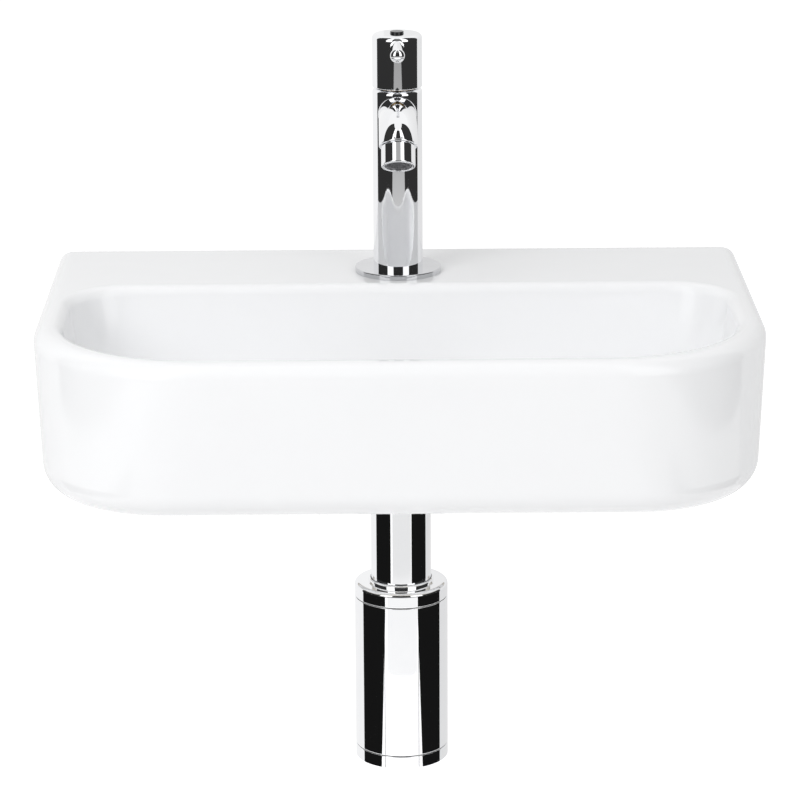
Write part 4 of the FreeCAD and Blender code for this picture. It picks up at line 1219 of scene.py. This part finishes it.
    def cup(self) -> Piece:
        """Cup of the trap and the boss of its outlet.

        Formula: the boss is turned about a level axis, and its near end is moved onto a cylinder
        inside the cup's wall, y = sqrt(R^2 - r^2).

        Returns:
            The piece.
        """
        top = self.cup_top - self.cap - self.groove
        low = self.foot_low + self.foot + self.groove
        wall = revolve(rounded_profile([
            (self.cup_r, low, EDGE), (self.cup_r, top, EDGE), (self.bore, top, 0),
            (self.bore, top - self.band, 0), (self.wide_r, top - self.band, 0),
            (self.wide_r, low + self.band, 0), (self.bore, low + self.band, 0),
            (self.bore, low, 0)]), (0, self.y, RIM_Z), segments=192)
        length = self.cup_r + self.boss_length
        boss = revolve(rounded_profile([
            (self.boss_r, 0, 0), (self.boss_r, length, EDGE), (self.clear_r, length, 0),
            (self.clear_r, 0, 0)]), (0, self.y, RIM_Z + self.outlet_up), (0, 1, 0))
        start = self.y + np.sqrt(self.boss_start ** 2 - boss.points[..., 0] ** 2)
        boss.points[..., 1] = np.maximum(boss.points[..., 1], start)
        mesh = mesh_from("trap_cup", [wall, boss])
        return Piece("trap_cup", mesh, CHROME, Slot.CHROME, replaces=("trap_body",))

    def sole(self) -> Piece:
        """Screwed foot of the trap, a cup with a closed bottom."""
        top = self.foot_low + self.foot
        spigot_r, end = self.bore - self.play, top + self.spigot
        floor = self.foot_low + self.foot_floor
        return self.on_axis("trap_foot", [
            (0, self.foot_low, 0), (self.cup_r, self.foot_low, 2.0 * MM),
            (self.cup_r, top, EDGE), (spigot_r, top, 0), (spigot_r, end, EDGE),
            (self.foot_bore, end, 0), (self.foot_bore, floor, 0), (0, floor, 0)],
            "trap_bottom_cap", 192, closed=False)

    def outlet(self) -> list[Piece]:
        """Coupling nut, and level pipe with its stop bead at the wall."""
        start = (0, self.y, RIM_Z + self.outlet_up)
        boss_end = self.cup_r + self.boss_length
        first, last = boss_end - self.outer_nut_grip, boss_end + self.outer_nut_past
        step = last - self.lip
        nut = [(self.outer_nut_r, first, 0.6 * MM), (self.outer_nut_r, last, 0.8 * MM),
               (self.clear_r, last, 0.2 * MM), (self.clear_r, step, 0),
               (self.outer_nut_bore, step, 0), (self.outer_nut_bore, first, 0)]
        wall, end, inner = -self.y, self.pipe_end - self.y, self.tube_r - self.tube_wall
        bead = wall - self.bead
        pipe = [(self.tube_r, self.pipe_start, 0), (self.tube_r, bead, 0),
                (self.bead_r, bead, 0.1 * MM), (self.bead_r, wall, 0.1 * MM),
                (self.tube_r, wall, 0), (self.tube_r, end, EDGE), (inner, end, 0),
                (inner, self.pipe_start, 0)]
        return [turned("outlet_coupling", nut, start, "outlet_nut", axis=(0, 1, 0)),
                turned("wall_pipe", pipe, start, "outlet_pipe", axis=(0, 1, 0))]

    def build(self) -> list[Piece]:
        """The chromed pieces below the tap."""
        return [self.waste(), self.tube(), self.nut(), self.lid(), self.cup(), self.sole(),
                *self.outlet()]


# ------------------------------------------------------------------ carried over nodes
@dataclass
class CarriedOver:
    """CAD nodes that keep their own mesh and get a finish."""

    finishes: dict[str, Finish] = field(default_factory=lambda: {
        **dict.fromkeys(("wall_studs", "stud_washers", "stud_nuts", "tap_clamp_washer",
                         "spindle_circlip"), ZINC),
        **dict.fromkeys(("tap_tail", "tap_backnut", "headwork_body", "spindle",
                         "waste_backnut"), BRASS),
        **dict.fromkeys(("tap_deck_seal", "tap_clamp_rubber", "aerator_seal",
                         "headwork_seat_seal", "headwork_o_ring", "spindle_o_rings",
                         "waste_top_seal", "waste_bottom_seal", "inlet_washer",
                         "trap_inlet_seal", "trap_lid_seal", "trap_bottom_seal",
                         "outlet_seal"), RUBBER),
        **dict.fromkeys(("waste_grid", "waste_screw"), CHROME),
        **dict.fromkeys(("fixed_disc", "moving_disc"), DISC_WHITE),
        "stud_sleeves": SLEEVE,
        "handle_screw": SCREW_STEEL,
    })

    def build(self) -> list[Piece]:
        """Dresses the nodes; there are no new pieces."""
        for node, finish in self.finishes.items():
            dress(node, finish)
        return []


# ------------------------------------------------------------------ studio
@dataclass(frozen=True)
class Screen:
    """A sheet that only metal and gloss see, as in a product studio.

    Fields:
        name: object name.
        rows: radius, height, first and last azimuth in degrees, and brightness of each row.
        both_sides: a mirrored copy stands on the other side.
    """

    name: str
    rows: tuple[tuple[float, float, float, float, float], ...]
    both_sides: bool = False

    def mesh(self, side: int, middle_y: float) -> bpy.types.Mesh:
        """The sheet, with its brightness as the point attribute `glow`.

        Formula: x = r sin a, y = middle - r cos a, z = height, where the azimuth a runs evenly
        from the first to the last of its row.

        Args:
            side: 1, or -1 for the mirrored copy.
            middle_y: y of the axis that the azimuths turn about.

        Returns:
            The mesh.
        """
        radius, height, start, end, glow = np.array(self.rows).T[:, :, None]
        t = np.linspace(0, 1, 48)[None]
        a = np.radians(side * (start + (end - start) * t))
        grid = np.stack([radius * np.sin(a), middle_y - radius * np.cos(a),
                         np.broadcast_to(height, a.shape)], axis=-1)
        surface = Surface(grid, wrap_columns=False)
        mesh = bpy.data.meshes.new(self.name)
        mesh.from_pydata(grid.reshape(-1, 3), [], surface.quads(0))
        values = mesh.attributes.new("glow", "FLOAT", "POINT")
        values.data.foreach_set("value", np.broadcast_to(glow, a.shape).ravel())
        return mesh


FLOOR_Z = -0.75
ON_FLOOR = FLOOR_Z + 0.001
SCREENS = (
    Screen("dark_round", ((2.2, -0.55, -107, 107, 0.03), (2.2, 2.2, -107, 107, 0.035))),
    Screen("dark_roof", ((2.2, 2.2, -107, 107, 0.035), (0.63, 2.2, -107, 107, 0.035))),
    Screen("dark_low", ((1.2, ON_FLOOR, 55, 107, 0.008), (1.2, -0.694, 51, 107, 0.008),
                        (1.2, -0.54, 39, 107, 0.008), (1.2, -0.35, 39, 107, 0.008)), True),
    Screen("dark_edge", ((1.19, ON_FLOOR, 40.4, 41.6, 0.01), (1.19, -0.54, 40.4, 41.6, 0.01)),
           True),
    Screen("soft_box", ((1.8, -0.06, 23, 52, 1.5), (1.8, 2.19, 23, 52, 1.5),
                        (0.59, 2.19, 23, 52, 1.5)), True),
    Screen("grey_paper", ((2.15, ON_FLOOR, -36, 40, 0.88), (2.15, -0.55, -33, 39, 0.8),
                          (2.15, -0.384, -24, 32, 0.48), (2.15, -0.25, -14, 18, 0.37),
                          (2.15, -0.235, -12, 16, 0.3))),
    Screen("front_low", ((1.6, ON_FLOOR, -34, 38, 1.02), (1.6, -0.66, -34, 38, 1.0),
                         (1.6, -0.645, -32, 37, 0.86), (1.6, -0.52, -32, 37, 0.84))),
    Screen("grey_top", ((2.15, 2.08, -41, 41, 0.65), (2.15, 2.18, -41, 41, 0.6),
                        (1.48, 2.18, -41, 41, 0.3))),
    Screen("back_left", ((2.2, ON_FLOOR, -107, -180, 0.95), (2.2, 2.2, -107, -180, 0.97))),
    Screen("back_right", ((2.2, ON_FLOOR, 107, 180, 0.78), (2.2, 0.2, 107, 180, 0.85),
                          (2.2, 2.2, 107, 180, 0.97))),
    Screen("low_left", ((1.2, ON_FLOOR, -107, -180, 0.95), (1.2, -0.35, -107, -180, 0.95))),
    Screen("low_right", ((1.2, ON_FLOOR, 107, 180, 0.78), (1.2, -0.35, 107, 180, 0.78))),
)


@dataclass
class Studio:
    """Camera, lamps, white floor and the screens that metal reflects.

    Fields:
        eye: the camera's place.
        pitch_deg, yaw_deg, roll_deg: its aim: down, to the right, and tilt.
        focal_px, picture_px: focal length and width of the picture, in pixels.
        sensor_mm: width of the camera's sensor.
        ambient: strength of the even light on the object.
        floor_colour, floor_reach: grey value and half width of the floor.
        floor_glow: its own light, as it falls on things and as it is seen.
        lamp_far, lamp_size, lamp_azimuth, lamp_elevation: soft boxes left and right.
        lamp_aim: where both point.
        lamp_radiance: brightness of the left and the right one.
        middle_y: y of the axis that the screens stand round.
    """

    eye: Triple = (-0.0129, -1.8502, 0.4961)
    pitch_deg: float = 16.47
    yaw_deg: float = 0.43
    roll_deg: float = -0.31
    focal_px: float = 3385.0
    picture_px: float = 800.0
    sensor_mm: float = 36.0
    ambient: float = 0.6
    floor_colour: float = 0.8
    floor_reach: float = 40.0
    floor_glow: tuple[float, float] = (0.25, 0.60)
    lamp_far: float = 1.8
    lamp_size: tuple[float, float] = (0.93, 1.45)
    lamp_azimuth: float = 40.0
    lamp_elevation: float = 38.0
    lamp_aim: Triple = (0.0, -0.12, 0.0)
    lamp_radiance: tuple[float, float] = (3.2, 1.12)
    middle_y: float = -0.1

    def camera(self) -> None:
        """Camera at the photograph's viewing angle."""
        data = bpy.data.cameras.new("camera")
        data.sensor_width = self.sensor_mm
        data.lens = self.focal_px / self.picture_px * self.sensor_mm
        data.clip_end = 100.0
        pitch, yaw, roll = map(math.radians, (self.pitch_deg, self.yaw_deg, self.roll_deg))
        forward = Vector((math.sin(yaw) * math.cos(pitch), math.cos(yaw) * math.cos(pitch),
                          -math.sin(pitch)))
        level = Vector((math.cos(yaw), -math.sin(yaw), 0))
        upright = level.cross(forward)
        right = math.cos(roll) * level + math.sin(roll) * upright
        up = math.cos(roll) * upright - math.sin(roll) * level
        turn = Matrix((right, up, -forward)).transposed().to_4x4()
        eye = add_object("camera", data)
        eye.matrix_world = Matrix.Translation(self.eye) @ turn
        bpy.context.scene.camera = eye

    @staticmethod
    def shown_or_lit(tree: bpy.types.NodeTree, shown: float, lit: float) -> Socket:
        """One strength for what is seen, straight or in metal and glass, and one for lighting.

        Args:
            tree: node tree to add to.
            shown: strength for rays from the camera, from metal and through glass.
            lit: strength for the light that falls on things.

        Returns:
            The strength.
        """
        path = tree.nodes.new("ShaderNodeLightPath")
        total = path.outputs["Is Camera Ray"]
        for name in ("Is Glossy Ray", "Is Transmission Ray"):
            add = tree.nodes.new("ShaderNodeMath")
            add.operation, add.use_clamp = "ADD", True
            tree.links.new(total, add.inputs[0])
            tree.links.new(path.outputs[name], add.inputs[1])
            total = add.outputs[0]
        strength = tree.nodes.new("ShaderNodeMapRange")
        strength.inputs["To Min"].default_value = lit
        strength.inputs["To Max"].default_value = shown
        tree.links.new(total, strength.inputs["Value"])
        return strength.outputs["Result"]

    def world(self) -> None:
        """White to look at, and a plain even light on the object."""
        world = bpy.data.worlds.new("white_room")
        world.use_nodes = True
        tree = world.node_tree
        background = tree.nodes["Background"]
        background.inputs["Color"].default_value = (1, 1, 1, 1)
        tree.links.new(self.shown_or_lit(tree, 1.0, self.ambient), background.inputs["Strength"])
        bpy.context.scene.world = world

    @staticmethod
    def blank(name: str) -> bpy.types.Material:
        """Material of this name, whose output still waits for a shader."""
        nodes = Nodes(name)
        nodes.tree.nodes.remove(nodes.shader)
        return nodes.material

    def floor(self) -> None:
        """Plain white floor, lit a little from below, that keeps the object's shadow."""
        material = self.blank("white_floor")
        tree = material.node_tree
        diffuse = tree.nodes.new("ShaderNodeBsdfDiffuse")
        diffuse.inputs["Color"].default_value = (*[self.floor_colour] * 3, 1)
        glow = tree.nodes.new("ShaderNodeEmission")
        lit, shown = self.floor_glow
        tree.links.new(self.shown_or_lit(tree, shown, lit), glow.inputs["Strength"])
        both = tree.nodes.new("ShaderNodeAddShader")
        tree.links.new(diffuse.outputs[0], both.inputs[0])
        tree.links.new(glow.outputs[0], both.inputs[1])
        tree.links.new(both.outputs[0], tree.nodes["Material Output"].inputs["Surface"])
        corner = np.array([-self.floor_reach, self.floor_reach])
        x, y = np.meshgrid(corner, corner)
        grid = np.stack([x, y, np.full_like(x, FLOOR_Z)], axis=-1)
        mesh = mesh_from("floor", [Surface(grid, wrap_columns=False)])
        self.put("floor", mesh, material)

    @staticmethod
    def put(name: str, mesh: bpy.types.Mesh, material: bpy.types.Material) -> bpy.types.Object:
        """Adds a stage object of this mesh and material."""
        thing = add_object(name, mesh)
        thing.data.materials.append(material)
        return thing

    def screens(self) -> None:
        """Puts up the screens, all of one glowing material that reads their brightness."""
        material = self.blank("screen")
        tree = material.node_tree
        value = tree.nodes.new("ShaderNodeAttribute")
        value.attribute_name = "glow"
        glow = tree.nodes.new("ShaderNodeEmission")
        tree.links.new(value.outputs["Fac"], glow.inputs["Strength"])
        tree.links.new(glow.outputs[0], tree.nodes["Material Output"].inputs["Surface"])
        for screen in SCREENS:
            for side in ((1, -1) if screen.both_sides else (1,)):
                mesh = screen.mesh(side, self.middle_y)
                self.hide(self.put(f"{screen.name}_{side}", mesh, material))

    @staticmethod
    def hide(thing: bpy.types.Object) -> None:
        """Keeps a screen out of the picture and off the light."""
        thing.visible_camera = False
        thing.visible_diffuse = False
        thing.visible_shadow = False
        thing.visible_transmission = False

    def lamps(self) -> None:
        """Two tall soft boxes, left and right of the camera."""
        width, height = self.lamp_size
        lift = math.radians(self.lamp_elevation)
        for name, side, radiance in zip(("box_left", "box_right"), (-1, 1), self.lamp_radiance):
            azimuth = math.radians(side * self.lamp_azimuth)
            away = Vector((math.sin(azimuth) * math.cos(lift),
                           -math.cos(azimuth) * math.cos(lift), math.sin(lift)))
            data = bpy.data.lights.new(name, "AREA")
            data.shape = "RECTANGLE"
            data.size, data.size_y = width, height
            data.energy = radiance * math.pi * width * height
            lamp = add_object(name, data)
            lamp.location = Vector(self.lamp_aim) + away * self.lamp_far
            lamp.rotation_euler = (-away).to_track_quat("-Z", "Y").to_euler()
            lamp.visible_camera = lamp.visible_glossy = False

    def build(self) -> None:
        """Sets up the whole studio."""
        self.camera()
        self.world()
        self.floor()
        self.screens()
        self.lamps()
        bpy.context.scene.view_settings.view_transform = "Standard"


def main() -> None:
    """Builds every sub-assembly, then the studio."""
    logging.basicConfig(level=logging.INFO, format="%(message)s", stream=sys.stdout)
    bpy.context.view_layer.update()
    for assembly in (CeramicBody(), PillarTap(), WasteAndTrap(), CarriedOver()):
        for piece in assembly.build():
            piece.place()
    Studio().build()


if __name__ == "__main__":
    main()
